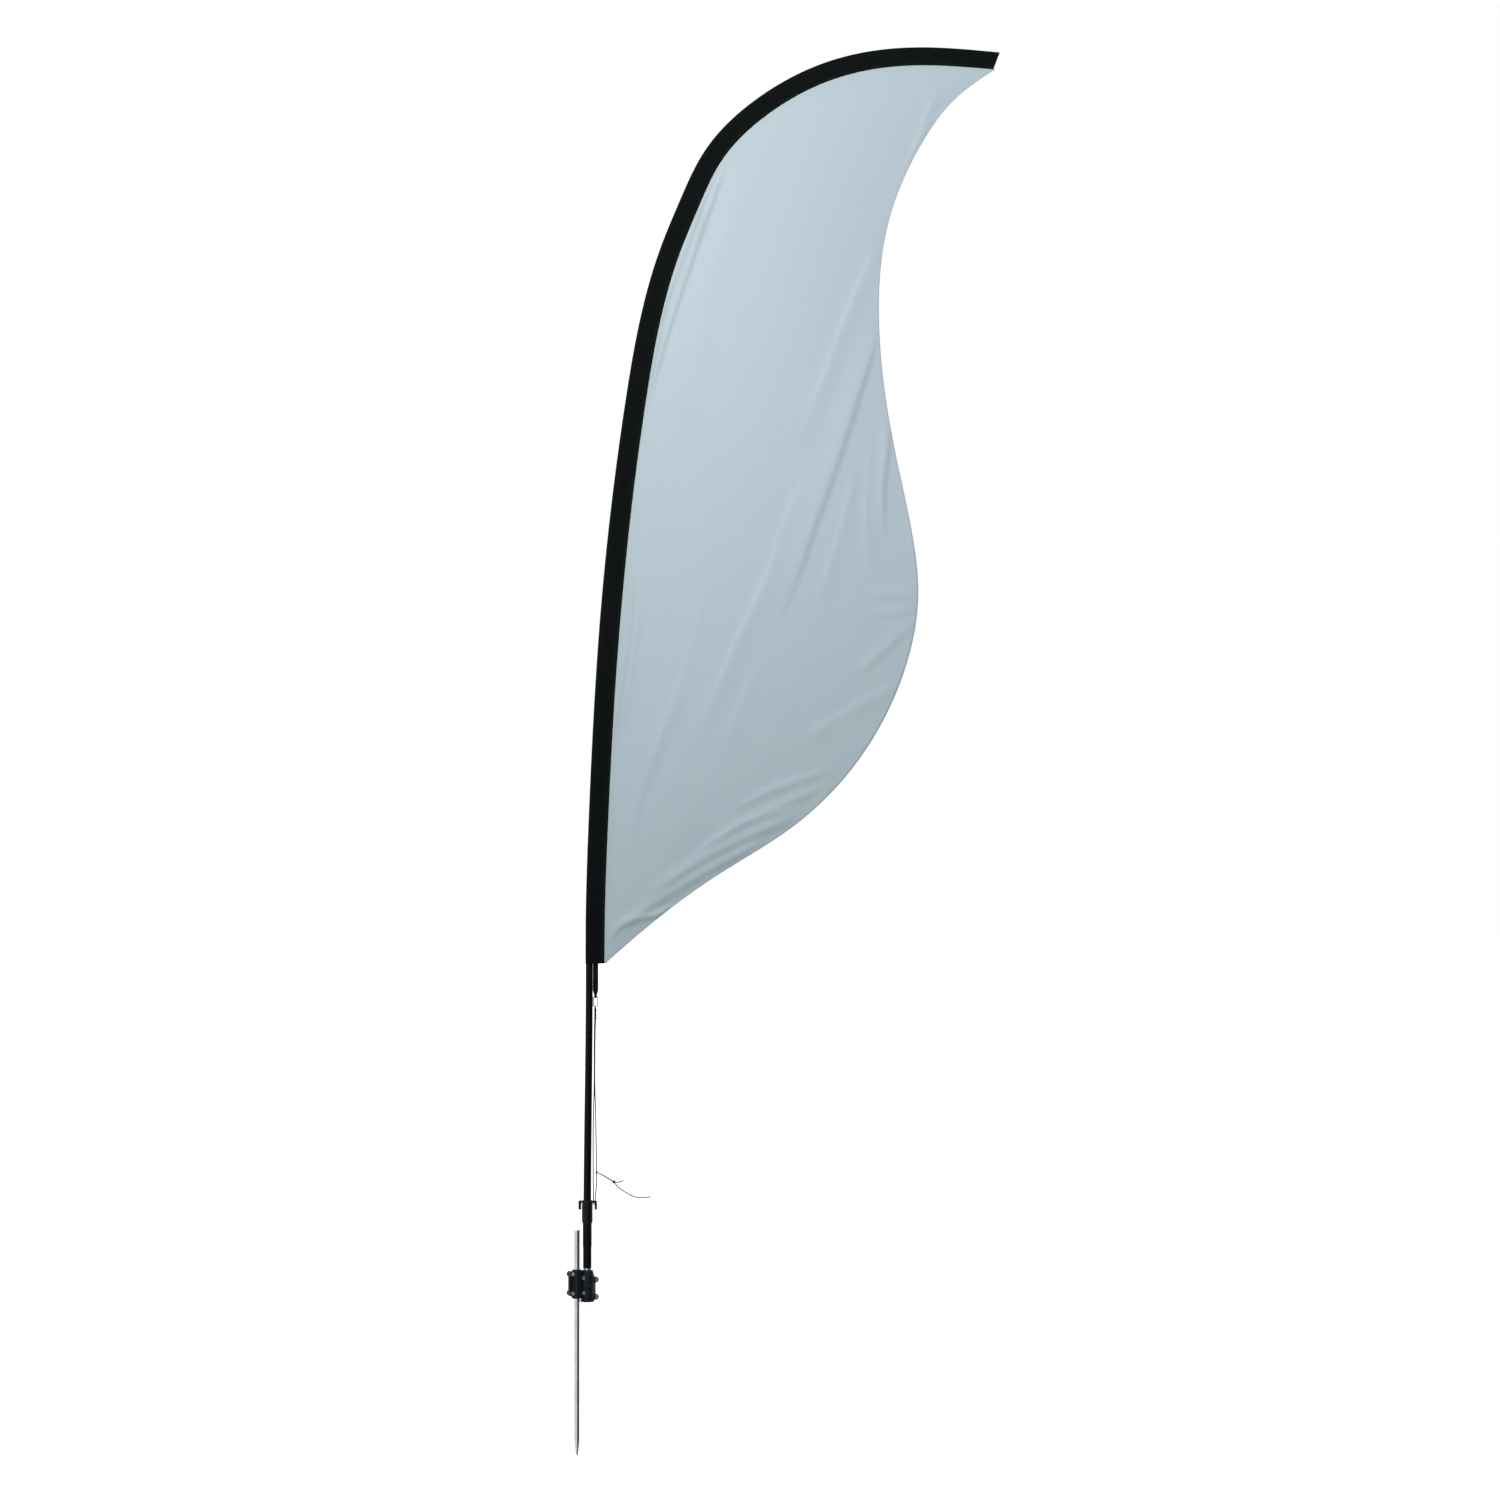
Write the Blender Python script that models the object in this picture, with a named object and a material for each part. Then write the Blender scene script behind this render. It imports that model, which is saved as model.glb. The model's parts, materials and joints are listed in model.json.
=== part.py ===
"""Feather flag with pole.

A sectional, tapered pole bends over inside a sewn sleeve that carries the sail. The pole stands in a
tube that turns on a steel spindle, and a two-shell clamp holds the spindle beside a ground stake.
Metres, +Z up. The origin is on the stake's axis at the ground line.
"""

import math

import bmesh
import bpy
import numpy as np
from mathutils import Matrix, Vector

# ---- fits ---------------------------------------------------------------------------------------
GAP = 0.0003                     # between two pieces that touch
OVERCUT = 0.0100                 # how far a cutter reaches past what it cuts

# ---- ground stake -------------------------------------------------------------------------------
STAKE_RADIUS = 0.0070
STAKE_ABOVE_GROUND = 0.2310
STAKE_BURIED = 0.3315
STAKE_POINT = 0.0365             # length of the tapered point
STAKE_POINT_RADIUS = 0.0030
STAKE_CHAMFER = 0.0010

# ---- clamp: two shells on the stake and on the spindle housing -----------------------------------
CLAMP_YAW = math.radians(27.0)   # turn of the clamp about the stake
SPINDLE_SPACING = 0.0285         # stake axis to spindle axis
STAKE_BARREL_RADIUS = 0.0130
STAKE_BARREL_BOTTOM = 0.0600
STAKE_BARREL_TOP = 0.1325
HOUSING_RADIUS = 0.0180
HOUSING_BOTTOM = 0.0545
HOUSING_TOP = 0.1300
HOUSING_RIB = 0.0010             # how far the rib stands out
HOUSING_RIB_SPAN = (0.0903, 0.0948)
HOUSING_GROOVE = 0.0025          # how deep the grip groove is
HOUSING_GROOVE_SPAN = (0.0568, 0.0615)
HOUSING_SHOULDER = 0.1155        # where the coned top begins
HOUSING_LIP = 0.0022             # wall left at the cone's top
HOUSING_SLOPE = 0.0007           # height of the slopes beside rib and groove
BARREL_FOOT_CHAMFER = 0.0012
BARREL_TOP_CHAMFER = 0.0020
LUG_CHAMFER = 0.0010
FLANGE_HALF_DEPTH = 0.0045
LUG_RADIUS = 0.0075
LUG_HALF_DEPTH = 0.0115
LUG_HEIGHTS = ((-0.0165, 0.1218), (-0.0165, 0.0743),
               (0.0130, 0.1108), (0.0130, 0.0743),
               (0.0486, 0.1060), (0.0486, 0.0628))
FLANGE_OUTLINE = ((-0.0225, 0.0680), (-0.0225, 0.1150), (-0.0160, 0.1275), (0.0120, 0.1290),
                  (0.0430, 0.1160), (0.0500, 0.1080), (0.0500, 0.0610), (0.0430, 0.0560),
                  (-0.0120, 0.0640))

# ---- clamp fasteners ------------------------------------------------------------------------------
SCREW_RADIUS = 0.0025
SCREW_HEAD_RADIUS = 0.0044
SCREW_HEAD_HEIGHT = 0.0028
SCREW_SOCKET_RADIUS = 0.0016
SCREW_SOCKET_DEPTH = 0.0015
NUT_RADIUS = 0.0046              # across the corners
NUT_HEIGHT = 0.0040
SCREW_END = 0.0015               # shank past the nut
SCREW_HEAD_RIM = 0.0008
SCREW_HEAD_CROWN = 0.62          # share of the head's radius left flat
RELIEF = 0.0005                  # room around a head or nut that stands against a barrel
RELIEF_LIFT = 0.0001

# ---- spindle, bushes, ring and cap -----------------------------------------------------------------
SPINDLE_RADIUS = 0.0080
SPINDLE_BOTTOM = 0.0545
SPINDLE_COLLAR_RADIUS = 0.0106
SPINDLE_COLLAR_HEIGHT = 0.0044
SPINDLE_CHAMFER = 0.0010
BUSH_RADIUS = 0.0115
BUSH_HEIGHT = 0.0195
BUSH_BORE_CLEARANCE = 0.0003
HOUSING_WEB = 0.0016             # step in the housing bore that holds each bush
RING_RADIUS = 0.0104
RING_HEIGHT = 0.0014
RING_GROOVE_DEPTH = 0.0012
LOWER_BUSH_BOTTOM = 0.0590
CAP_RADIUS = 0.0176
CAP_HEIGHT = 0.0042
CAP_WALL = 0.0009
CAP_SPIGOT = 0.0028
CAP_FLOOR = 0.0012
CAP_OUTLINE = ((0.68, 0.0), (0.94, 0.0009), (1.0, 0.0024))   # share of the radius, height from its foot

# ---- lower tube, stop and rivet --------------------------------------------------------------------
TUBE_RADIUS = 0.01125            # upper, wider length
TUBE_NECK_RADIUS = 0.01058       # lower length, over the spindle
TUBE_STEP_HEIGHT = 0.1875
TUBE_TOP = 0.2985
TUBE_SEAT_HEIGHT = 0.2220        # inner shoulder above the spindle
STOP_HEIGHT = 0.0060
RIVET_RADIUS = 0.0016
RIVET_HEAD_RADIUS = 0.0029
RIVET_HEAD_HEIGHT = 0.0009
RIVET_HEIGHT = 0.1650
RIVET_RIM = 0.0003
TUBE_STEP_SLOPE = 0.0006

# ---- hook collar -----------------------------------------------------------------------------------
COLLAR_RADIUS = 0.0135
COLLAR_BOTTOM = 0.2475
COLLAR_TOP = 0.3050
COLLAR_CHAMFER = 0.0020
EAR_REACH = 0.0250               # from the pole's axis
EAR_HALF_WIDTH = 0.0040
EAR_TOP = 0.3030
EAR_UNDERSIDE = 0.2975
EAR_TIP_BOTTOM = 0.2800
EAR_TIP_THICKNESS = 0.0035
EAR_ANGLES = (25.0, 145.0, 265.0)
COLLAR_SCREW_RADIUS = 0.0020
COLLAR_SCREW_ANGLE = 85.0
COLLAR_SCREW_HEIGHT = 0.2650
COLLAR_SCREW_PROUD = 0.0010      # how far the set screw stands out
COLLAR_SCREW_CHAMFER = 0.0004
COLLAR_SCREW_SOCKET = 0.0009
EAR_BEVEL = 0.0020

# ---- pole ------------------------------------------------------------------------------------------
POLE_RISE = 2.9384               # foot to tip, upward
POLE_REACH = 1.0201              # foot to tip, sideways
POLE_FOOT_RADIUS = 0.00975
POLE_TIP_RADIUS = 0.0042
POLE_WALL = 0.0016
POLE_SECTIONS = 4
STATIONS_PER_SECTION = 12
# The bend, foot to tip, as shares of the reach and of the rise.
POLE_BEND = ((0.0, 0.0), (0.0002, 0.0267), (0.0048, 0.2002), (0.0056, 0.2717), (0.0131, 0.3568),
             (0.0430, 0.5355), (0.1010, 0.7053), (0.1838, 0.8326), (0.2331, 0.8748), (0.2946, 0.9173),
             (0.4155, 0.9594), (0.5963, 0.9923), (0.7886, 1.0037), (1.0, 1.0))
PLUG_FLANGE = 0.0030
PLUG_STEM = 0.0150
PLUG_CHAMFER = 0.0005
TIP_CAP_RIM = 0.0020
TIP_CAP_HEIGHT = 0.0040

# ---- sleeve and sail ---------------------------------------------------------------------------------
SLEEVE_FOOT = 0.8975             # height above the ground
SLEEVE_CLOTH = 0.0006
SLEEVE_WIDTHS = (0.0475, 0.0515, 0.0500, 0.0440)   # flat width, evenly spaced from foot to tip
SLEEVE_SEAM = 0.0060             # both layers sewn flat
SEAM_HALF_THICKNESS = 0.0012
SLEEVE_TIP_SHEAR = 0.28          # slant of the cut end
SLEEVE_TIP_OUTSIDE = 0.0110      # sleeve past the pole's tip
SLEEVE_TIP_INSIDE = 0.0048
SAIL_THICKNESS = 0.0016
SAIL_BELLY = 0.0500              # towards the front, mid-sail
SAIL_CURL = 0.0300               # trailing edge, towards the back
BELLY_LEAN = 0.85                # puts the belly's deepest line nearer the sleeve
BELLY_SPREAD = 0.8
SAIL_COLUMNS = 9
SAIL_CORNER = 0.0040             # width left at the two corners
SAIL_TIP_BACK = 0.0010           # top corner, back from the pole's tip
# The trailing edge, tip to foot, as shares of the pole's reach and rise.
TRAILING_EDGE = ((0.9000, 0.9612), (0.8248, 0.9268), (0.7366, 0.8545), (0.7148, 0.7822),
                 (0.7542, 0.6631), (0.8032, 0.5780), (0.8116, 0.5457), (0.7740, 0.4717),
                 (0.6366, 0.3866), (0.5092, 0.3440), (0.3200, 0.3015), (0.1533, 0.2590))

# ---- tension tab and its ring --------------------------------------------------------------------------
TAB_WIDTH = 0.0135
TAB_NECK_WIDTH = 0.0070
TAB_LENGTH = 0.0845               # foot of the sleeve to the ring's top bar
TAB_THICKNESS = 0.0020
TAB_TAPER = 0.0100
TAB_SHOULDER = 0.0140            # where the fold's two legs lie flat, above the bar
TAB_TO_SLEEVE = 0.0005
RING_WIRE_RADIUS = 0.0014
RING_WIDTH = 0.0135
RING_LENGTH = 0.0270
RING_TOP_CORNER = 0.0016         # bend of the wire's centre line
RING_FOOT_CORNER = 0.0045

# ---- elastic cord ----------------------------------------------------------------------------------------
CORD_RADIUS = 0.00125
HITCH_RADIUS = 0.0030            # the wrapped hitch under the ring
HITCH_BOTTOM = 0.7585
HITCH_X = 0.0455
KNOT_RADIUS = 0.0030
KNOT_CENTRE = (0.0490, 0.0150, 0.3738)
TAIL_KNOT_CENTRE = (0.0922, 0.0080, 0.3505)

CORD_FRONT = ((0.0462, 0.0122, 0.7582), (0.0447, 0.0120, 0.7050), (0.0443, 0.0116, 0.6500),
              (0.0443, 0.0116, 0.5900), (0.0461, 0.0124, 0.5325), (0.0472, 0.0134, 0.4600),
              (0.0482, 0.0144, 0.4150), (0.0489, 0.0150, 0.3771))
CORD_REAR = ((0.0440, 0.0152, 0.7582), (0.0431, 0.0160, 0.7050), (0.0429, 0.0168, 0.6500),
             (0.0424, 0.0180, 0.5800), (0.0406, 0.0205, 0.5175), (0.0398, 0.0225, 0.4600),
             (0.0399, 0.0245, 0.3900), (0.0401, 0.0256, 0.3400), (0.04025, 0.0260, 0.3080),
             (0.04025, 0.0260, 0.2981), (0.04095, 0.0246, 0.29415), (0.04262, 0.0209, 0.2925),
             (0.04430, 0.0172, 0.29415), (0.0450, 0.0158, 0.2981), (0.0452, 0.0157, 0.3080),
             (0.0476, 0.0154, 0.3325), (0.0486, 0.0151, 0.3550), (0.0490, 0.0150, 0.3705))
TAIL_LONG = ((0.0522, 0.0147, 0.3722), (0.0640, 0.0132, 0.3672), (0.0780, 0.0104, 0.3585),
             (0.0893, 0.0083, 0.3519))
TAIL_SHORT = ((0.0520, 0.0113, 0.3725), (0.0638, 0.0100, 0.3680), (0.0778, 0.0072, 0.3596),
              (0.0893, 0.0054, 0.3533))
TAIL_END_LONG = ((0.0940, 0.0078, 0.3478), (0.1010, 0.0075, 0.3395), (0.1148, 0.0070, 0.3290),
                 (0.1352, 0.0055, 0.3172), (0.1582, 0.0025, 0.3118), (0.1710, 0.0005, 0.3120),
                 (0.1855, -0.0015, 0.3142))
TAIL_END_SHORT = ((0.0955, 0.0077, 0.3503), (0.1020, 0.0072, 0.3500), (0.1095, 0.0062, 0.3515),
                  (0.1165, 0.0050, 0.3548))
CORD_STEP = 0.0140               # longest straight piece of a cord tube

# ---- colours: red, green, blue, metallic, roughness ------------------------------------------------
FINISHES = {
    "zinc_steel": (0.62, 0.64, 0.67, 1.0, 0.25),
    "nickel_steel": (0.72, 0.72, 0.70, 1.0, 0.22),
    "clamp_nylon": (0.018, 0.022, 0.032, 0.0, 0.45),
    "bush_acetal": (0.80, 0.79, 0.74, 0.0, 0.40),
    "black_tube": (0.010, 0.011, 0.011, 0.2, 0.40),
    "collar_nylon": (0.012, 0.012, 0.012, 0.0, 0.50),
    "pole_fibreglass": (0.012, 0.013, 0.012, 0.0, 0.35),
    "black_rubber": (0.015, 0.015, 0.015, 0.0, 0.70),
    "sleeve_cloth": (0.012, 0.013, 0.014, 0.0, 0.80),
    "sail_cloth": (0.50, 0.60, 0.64, 0.0, 0.65),
    "black_webbing": (0.010, 0.010, 0.010, 0.0, 0.85),
    "elastic_cord": (0.020, 0.018, 0.018, 0.0, 0.75),
}

SPINDLE_AXIS = Vector((SPINDLE_SPACING * math.cos(CLAMP_YAW), SPINDLE_SPACING * math.sin(CLAMP_YAW), 0.0))
TUBE_BOTTOM = HOUSING_TOP + GAP + SPINDLE_COLLAR_HEIGHT + GAP
POLE_FOOT = TUBE_SEAT_HEIGHT + GAP + STOP_HEIGHT + GAP + PLUG_FLANGE


# ---- helpers -------------------------------------------------------------------------------------------
def clear_scene():
    """Remove every object that the scene starts with."""
    for item in list(bpy.data.objects):
        bpy.data.objects.remove(item, do_unlink=True)


def finish(name):
    """The Principled material for one finish, made once."""
    found = bpy.data.materials.get(name)
    if found:
        return found
    red, green, blue, metallic, roughness = FINISHES[name]
    found = bpy.data.materials.new(name)
    found.use_nodes = True
    shader = found.node_tree.nodes["Principled BSDF"]
    shader.inputs["Base Color"].default_value = (red, green, blue, 1.0)
    shader.inputs["Metallic"].default_value = metallic
    shader.inputs["Roughness"].default_value = roughness
    return found


def empty(name, place, turn=0.0):
    """A parent for the pieces that share a frame; it carries no geometry."""
    holder = bpy.data.objects.new(name, None)
    holder.location = place
    holder.rotation_euler = (0.0, 0.0, turn)
    bpy.context.scene.collection.objects.link(holder)
    return holder


def add_object(name, data, material=None, parent=None):
    """Link one object and give it its material and its parent."""
    item = bpy.data.objects.new(name, data)
    if material:
        data.materials.append(finish(material))
    bpy.context.scene.collection.objects.link(item)
    item.parent = parent
    return item


def loft(name, rings, material=None, parent=None, closed=False, sharp=40.0):
    """Skin a row of equal rings; the ends are capped, or joined to each other when closed."""
    shape = bmesh.new()
    rows = [[shape.verts.new(point) for point in ring] for ring in rings]
    pairs = list(zip(rows, rows[1:]))
    if closed:
        pairs.append((rows[-1], rows[0]))
    else:
        shape.faces.new(rows[0])
        shape.faces.new(rows[-1])
    for low, high in pairs:
        for here in range(len(low)):
            there = (here + 1) % len(low)
            shape.faces.new((low[here], low[there], high[there], high[here]))
    bmesh.ops.recalc_face_normals(shape, faces=shape.faces)
    data = bpy.data.meshes.new(name)
    shape.to_mesh(data)
    shape.free()
    item = add_object(name, data, material, parent)
    data.shade_smooth()
    data.set_sharp_from_angle(angle=math.radians(sharp))
    return item


def circle(radius, height, segments):
    """A level ring of points about the Z axis."""
    angles = [math.tau * k / segments for k in range(segments)]
    return [Vector((radius * math.cos(angle), radius * math.sin(angle), height)) for angle in angles]


def turned(name, profile, material=None, parent=None, segments=22, closed=False, place=None):
    """A turned piece from (radius, height) pairs; place lays its axis somewhere other than +Z."""
    place = place or Matrix.Identity(4)
    rings = [[place @ point for point in circle(radius, height, segments)] for radius, height in profile]
    return loft(name, rings, material, parent, closed)


def prism(name, outline, low, high, place, material=None, parent=None):
    """An outline in its own XY plane, carried from low to high along its own Z."""
    rings = [[place @ Vector((x, y, height)) for x, y in outline] for height in (low, high)]
    return loft(name, rings, material, parent)


def hide(item):
    """Mark a guide or cutter, which is no part of the object."""
    item.hide_render = True
    item.display_type = "WIRE"
    return item


def combine(item, other, operation):
    """Join or cut one object by another with a Boolean modifier."""
    step = item.modifiers.new(other.name, "BOOLEAN")
    step.operation = operation
    step.solver = "EXACT"
    step.object = other


def cubic_spline(points, samples):
    """A natural cubic spline through plane or space points, sampled evenly in chord length."""
    points = np.asarray(points, dtype=float)
    steps = np.linalg.norm(np.diff(points, axis=0), axis=1)
    knots = np.concatenate(([0.0], np.cumsum(steps)))
    count = len(points)
    matrix = np.eye(count)
    right = np.zeros_like(points)
    for k in range(1, count - 1):
        matrix[k, k - 1:k + 2] = (steps[k - 1], 2.0 * (steps[k - 1] + steps[k]), steps[k])
        right[k] = 6.0 * ((points[k + 1] - points[k]) / steps[k]
                          - (points[k] - points[k - 1]) / steps[k - 1])
    bend = np.linalg.solve(matrix, right)
    where = np.linspace(0.0, knots[-1], samples)
    span = np.clip(np.searchsorted(knots, where, side="right") - 1, 0, count - 2)
    width = steps[span][:, None]
    before = ((knots[span + 1] - where)[:, None]) / width
    after = 1.0 - before
    curve = (before ** 3 - before) * bend[span] + (after ** 3 - after) * bend[span + 1]
    return before * points[span] + after * points[span + 1] + curve * width ** 2 / 6.0


def lengths_along(line):
    """Distance from the start of a line to each of its points."""
    return np.concatenate(([0.0], np.cumsum(np.linalg.norm(np.diff(line, axis=0), axis=1))))


def sample(line, distances):
    """Points of a line at the given distances from its start."""
    along = lengths_along(line)
    return np.stack([np.interp(distances, along, line[:, axis]) for axis in range(line.shape[1])], axis=1)


def cord_route(points):
    """A smooth line through a cord's route, with closer points where the route's own points are close."""
    fine = cubic_spline(points, 2000)
    chords = lengths_along(np.asarray(points))
    places = np.interp(chords / chords[-1], np.linspace(0.0, 1.0, len(fine)), lengths_along(fine))
    stops = [0.0]
    for start, end in zip(places, places[1:]):
        pieces = max(2, math.ceil((end - start) / CORD_STEP))
        stops.extend(np.linspace(start, end, pieces + 1)[1:])
    return sample(fine, np.array(stops))


def tube_along(name, points, radius, material):
    """A round cord through its route's points, as a curve with a bevel and filled caps."""
    route = cord_route(points)
    data = bpy.data.curves.new(name, "CURVE")
    data.dimensions = "3D"
    data.bevel_depth = radius
    data.bevel_resolution = 2
    data.use_fill_caps = True
    spline = data.splines.new("POLY")
    spline.points.add(len(route) - 1)
    for point, place in zip(spline.points, route):
        point.co = (*place, 1.0)
    return add_object(name, data, material)


# ---- the pole's line -----------------------------------------------------------------------------------
def in_flag_plane(shares):
    """Shares of reach and rise as x, z in the flag's plane."""
    shares = np.asarray(shares, dtype=float)
    return np.stack([SPINDLE_AXIS.x + shares[:, 0] * POLE_REACH,
                     POLE_FOOT + shares[:, 1] * POLE_RISE], axis=1)


POLE_LINE = cubic_spline(in_flag_plane(POLE_BEND), 4000)
POLE_LENGTH = lengths_along(POLE_LINE)[-1]
STATION_STEP = POLE_LENGTH / (POLE_SECTIONS * STATIONS_PER_SECTION)


def pole_radius(distance):
    """The pole's even taper from foot to tip."""
    return POLE_FOOT_RADIUS + (POLE_TIP_RADIUS - POLE_FOOT_RADIUS) * distance / POLE_LENGTH


def pole_frame(distance):
    """Centre and inward normal (x, z) of the pole's line at a distance from its foot."""
    reach = 0.002
    ends = sample(POLE_LINE, np.array([max(distance - reach, 0.0), min(distance + reach, POLE_LENGTH)]))
    along = ends[1] - ends[0]
    along /= np.linalg.norm(along)
    centre = sample(POLE_LINE, np.array([distance]))[0]
    return centre, np.array((along[1], -along[0])), along


def flag_point(centre, normal, inward, sideways):
    """A point beside the pole's line: inward across the sleeve, sideways along Y."""
    x, z = centre + inward * normal
    return Vector((x, SPINDLE_AXIS.y + sideways, z))


def pole_ring(distance, radius, segments=12):
    """A ring of points about the pole's line."""
    centre, normal, _ = pole_frame(distance)
    return [flag_point(centre, normal, radius * math.cos(math.tau * k / segments),
                       radius * math.sin(math.tau * k / segments)) for k in range(segments)]


# ---- stake and clamp -----------------------------------------------------------------------------------
def make_stake():
    """The steel stake: flat struck end, long shank, tapered blunt point."""
    turned("ground_stake", ((STAKE_POINT_RADIUS, -STAKE_BURIED),
                            (STAKE_RADIUS, STAKE_POINT - STAKE_BURIED),
                            (STAKE_RADIUS, STAKE_ABOVE_GROUND - STAKE_CHAMFER),
                            (STAKE_RADIUS - STAKE_CHAMFER, STAKE_ABOVE_GROUND)), "zinc_steel")


def across(u, z):
    """Lay a turned piece's axis along the clamp's depth, at u along the clamp and height z."""
    return Matrix.Translation((u, 0.0, z)) @ Matrix.Rotation(math.radians(90.0), 4, "X")


def upright(u):
    """Stand a turned piece at u along the clamp."""
    return Matrix.Translation((u, 0.0, 0.0))


def housing_profile():
    """The spindle housing outside: grooved foot, rib at mid height, coned shoulder."""
    groove = HOUSING_RADIUS - HOUSING_GROOVE
    rib = HOUSING_RADIUS + HOUSING_RIB
    profile = [(HOUSING_RADIUS, HOUSING_BOTTOM)]
    for radius, (low, high) in ((groove, HOUSING_GROOVE_SPAN), (rib, HOUSING_RIB_SPAN)):
        profile += [(HOUSING_RADIUS, low - HOUSING_SLOPE), (radius, low), (radius, high),
                    (HOUSING_RADIUS, high + HOUSING_SLOPE)]
    return profile + [(HOUSING_RADIUS, HOUSING_SHOULDER), (BUSH_RADIUS + HOUSING_LIP, HOUSING_TOP)]


def housing_bore_profile():
    """The bore: wide over each bush, with a web between them that keeps them in place."""
    wide = BUSH_RADIUS + GAP
    web = BUSH_RADIUS + GAP - HOUSING_WEB
    low = LOWER_BUSH_BOTTOM + BUSH_HEIGHT + GAP
    high = HOUSING_TOP - BUSH_HEIGHT - GAP
    return ((wide, HOUSING_BOTTOM - OVERCUT), (wide, low), (web, low), (web, high), (wide, high),
            (wide, HOUSING_TOP + OVERCUT))


def make_clamp(bracket):
    """Front and rear shells: barrels, flange and screw lugs, cut by the bores and the parting plane."""
    laid_flat = Matrix.Rotation(math.radians(90.0), 4, "X")
    barrel = ((STAKE_BARREL_RADIUS - BARREL_FOOT_CHAMFER, STAKE_BARREL_BOTTOM),
              (STAKE_BARREL_RADIUS, STAKE_BARREL_BOTTOM + BARREL_FOOT_CHAMFER),
              (STAKE_BARREL_RADIUS, STAKE_BARREL_TOP - BARREL_TOP_CHAMFER),
              (STAKE_BARREL_RADIUS - BARREL_TOP_CHAMFER, STAKE_BARREL_TOP))
    bore = ((STAKE_RADIUS + GAP, STAKE_BARREL_BOTTOM - OVERCUT),
            (STAKE_RADIUS + GAP, STAKE_BARREL_TOP + OVERCUT))
    housing = upright(SPINDLE_SPACING)
    solids = [turned("stake_barrel", barrel, parent=bracket),
              turned("housing_barrel", housing_profile(), parent=bracket, place=housing)]
    cutters = [turned("stake_bore", bore, parent=bracket),
               turned("housing_bore", housing_bore_profile(), parent=bracket, place=housing)]
    lug = ((LUG_RADIUS - LUG_CHAMFER, -LUG_HALF_DEPTH), (LUG_RADIUS, LUG_CHAMFER - LUG_HALF_DEPTH),
           (LUG_RADIUS, LUG_HALF_DEPTH - LUG_CHAMFER), (LUG_RADIUS - LUG_CHAMFER, LUG_HALF_DEPTH))
    through = HOUSING_RADIUS + OVERCUT
    seat = LUG_HALF_DEPTH + RELIEF_LIFT
    for number, (u, z) in enumerate(LUG_HEIGHTS, 1):
        place = across(u, z)
        solids.append(turned(f"lug_{number}", lug, parent=bracket, segments=14, place=place))
        hole = ((SCREW_RADIUS + GAP, -through), (SCREW_RADIUS + GAP, through))
        cutters.append(turned(f"screw_hole_{number}", hole, parent=bracket, segments=10, place=place))
        for side, radius, end in (("head", SCREW_HEAD_RADIUS, 1.0), ("nut", NUT_RADIUS, -1.0)):
            room = ((radius + RELIEF, end * seat), (radius + RELIEF, end * through))
            cutters.append(turned(f"{side}_relief_{number}", room, parent=bracket, segments=14, place=place))
    far = 0.1
    for name, side in (("clamp_front", 1.0), ("clamp_rear", -1.0)):
        shell = prism(name, FLANGE_OUTLINE, -FLANGE_HALF_DEPTH, FLANGE_HALF_DEPTH, laid_flat,
                      "clamp_nylon", bracket)
        edge = ((-far, -side * GAP / 2), (far, -side * GAP / 2), (far, side * far), (-far, side * far))
        half = prism(f"{name}_parting", edge, -far, 2 * far, Matrix.Identity(4), parent=bracket)
        for solid in solids:
            combine(shell, solid, "UNION")
        for cutter in cutters + [half]:
            combine(shell, cutter, "DIFFERENCE")
        hide(half)
    for guide in solids + cutters:
        hide(guide)


def make_clamp_fasteners(bracket):
    """Six button-head screws from the front, each with a hexagon nut behind."""
    reach = LUG_HALF_DEPTH + GAP
    thread = (SCREW_RADIUS + GAP) / math.cos(math.pi / 6.0)
    for number, (u, z) in enumerate(LUG_HEIGHTS, 1):
        crown = reach + SCREW_HEAD_HEIGHT
        turned(f"clamp_screw_{number}",
               ((SCREW_RADIUS, -reach - NUT_HEIGHT - GAP - SCREW_END), (SCREW_RADIUS, reach),
                (SCREW_HEAD_RADIUS, reach), (SCREW_HEAD_RADIUS, reach + SCREW_HEAD_RIM),
                (SCREW_HEAD_RADIUS * SCREW_HEAD_CROWN, crown),
                (SCREW_SOCKET_RADIUS, crown), (SCREW_SOCKET_RADIUS, crown - SCREW_SOCKET_DEPTH)),
               "nickel_steel", bracket, segments=10, place=across(u, z))
        turned(f"clamp_nut_{number}",
               ((thread, -reach), (thread, -reach - NUT_HEIGHT),
                (NUT_RADIUS, -reach - NUT_HEIGHT), (NUT_RADIUS, -reach)),
               "nickel_steel", bracket, segments=6, closed=True, place=across(u, z))


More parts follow.
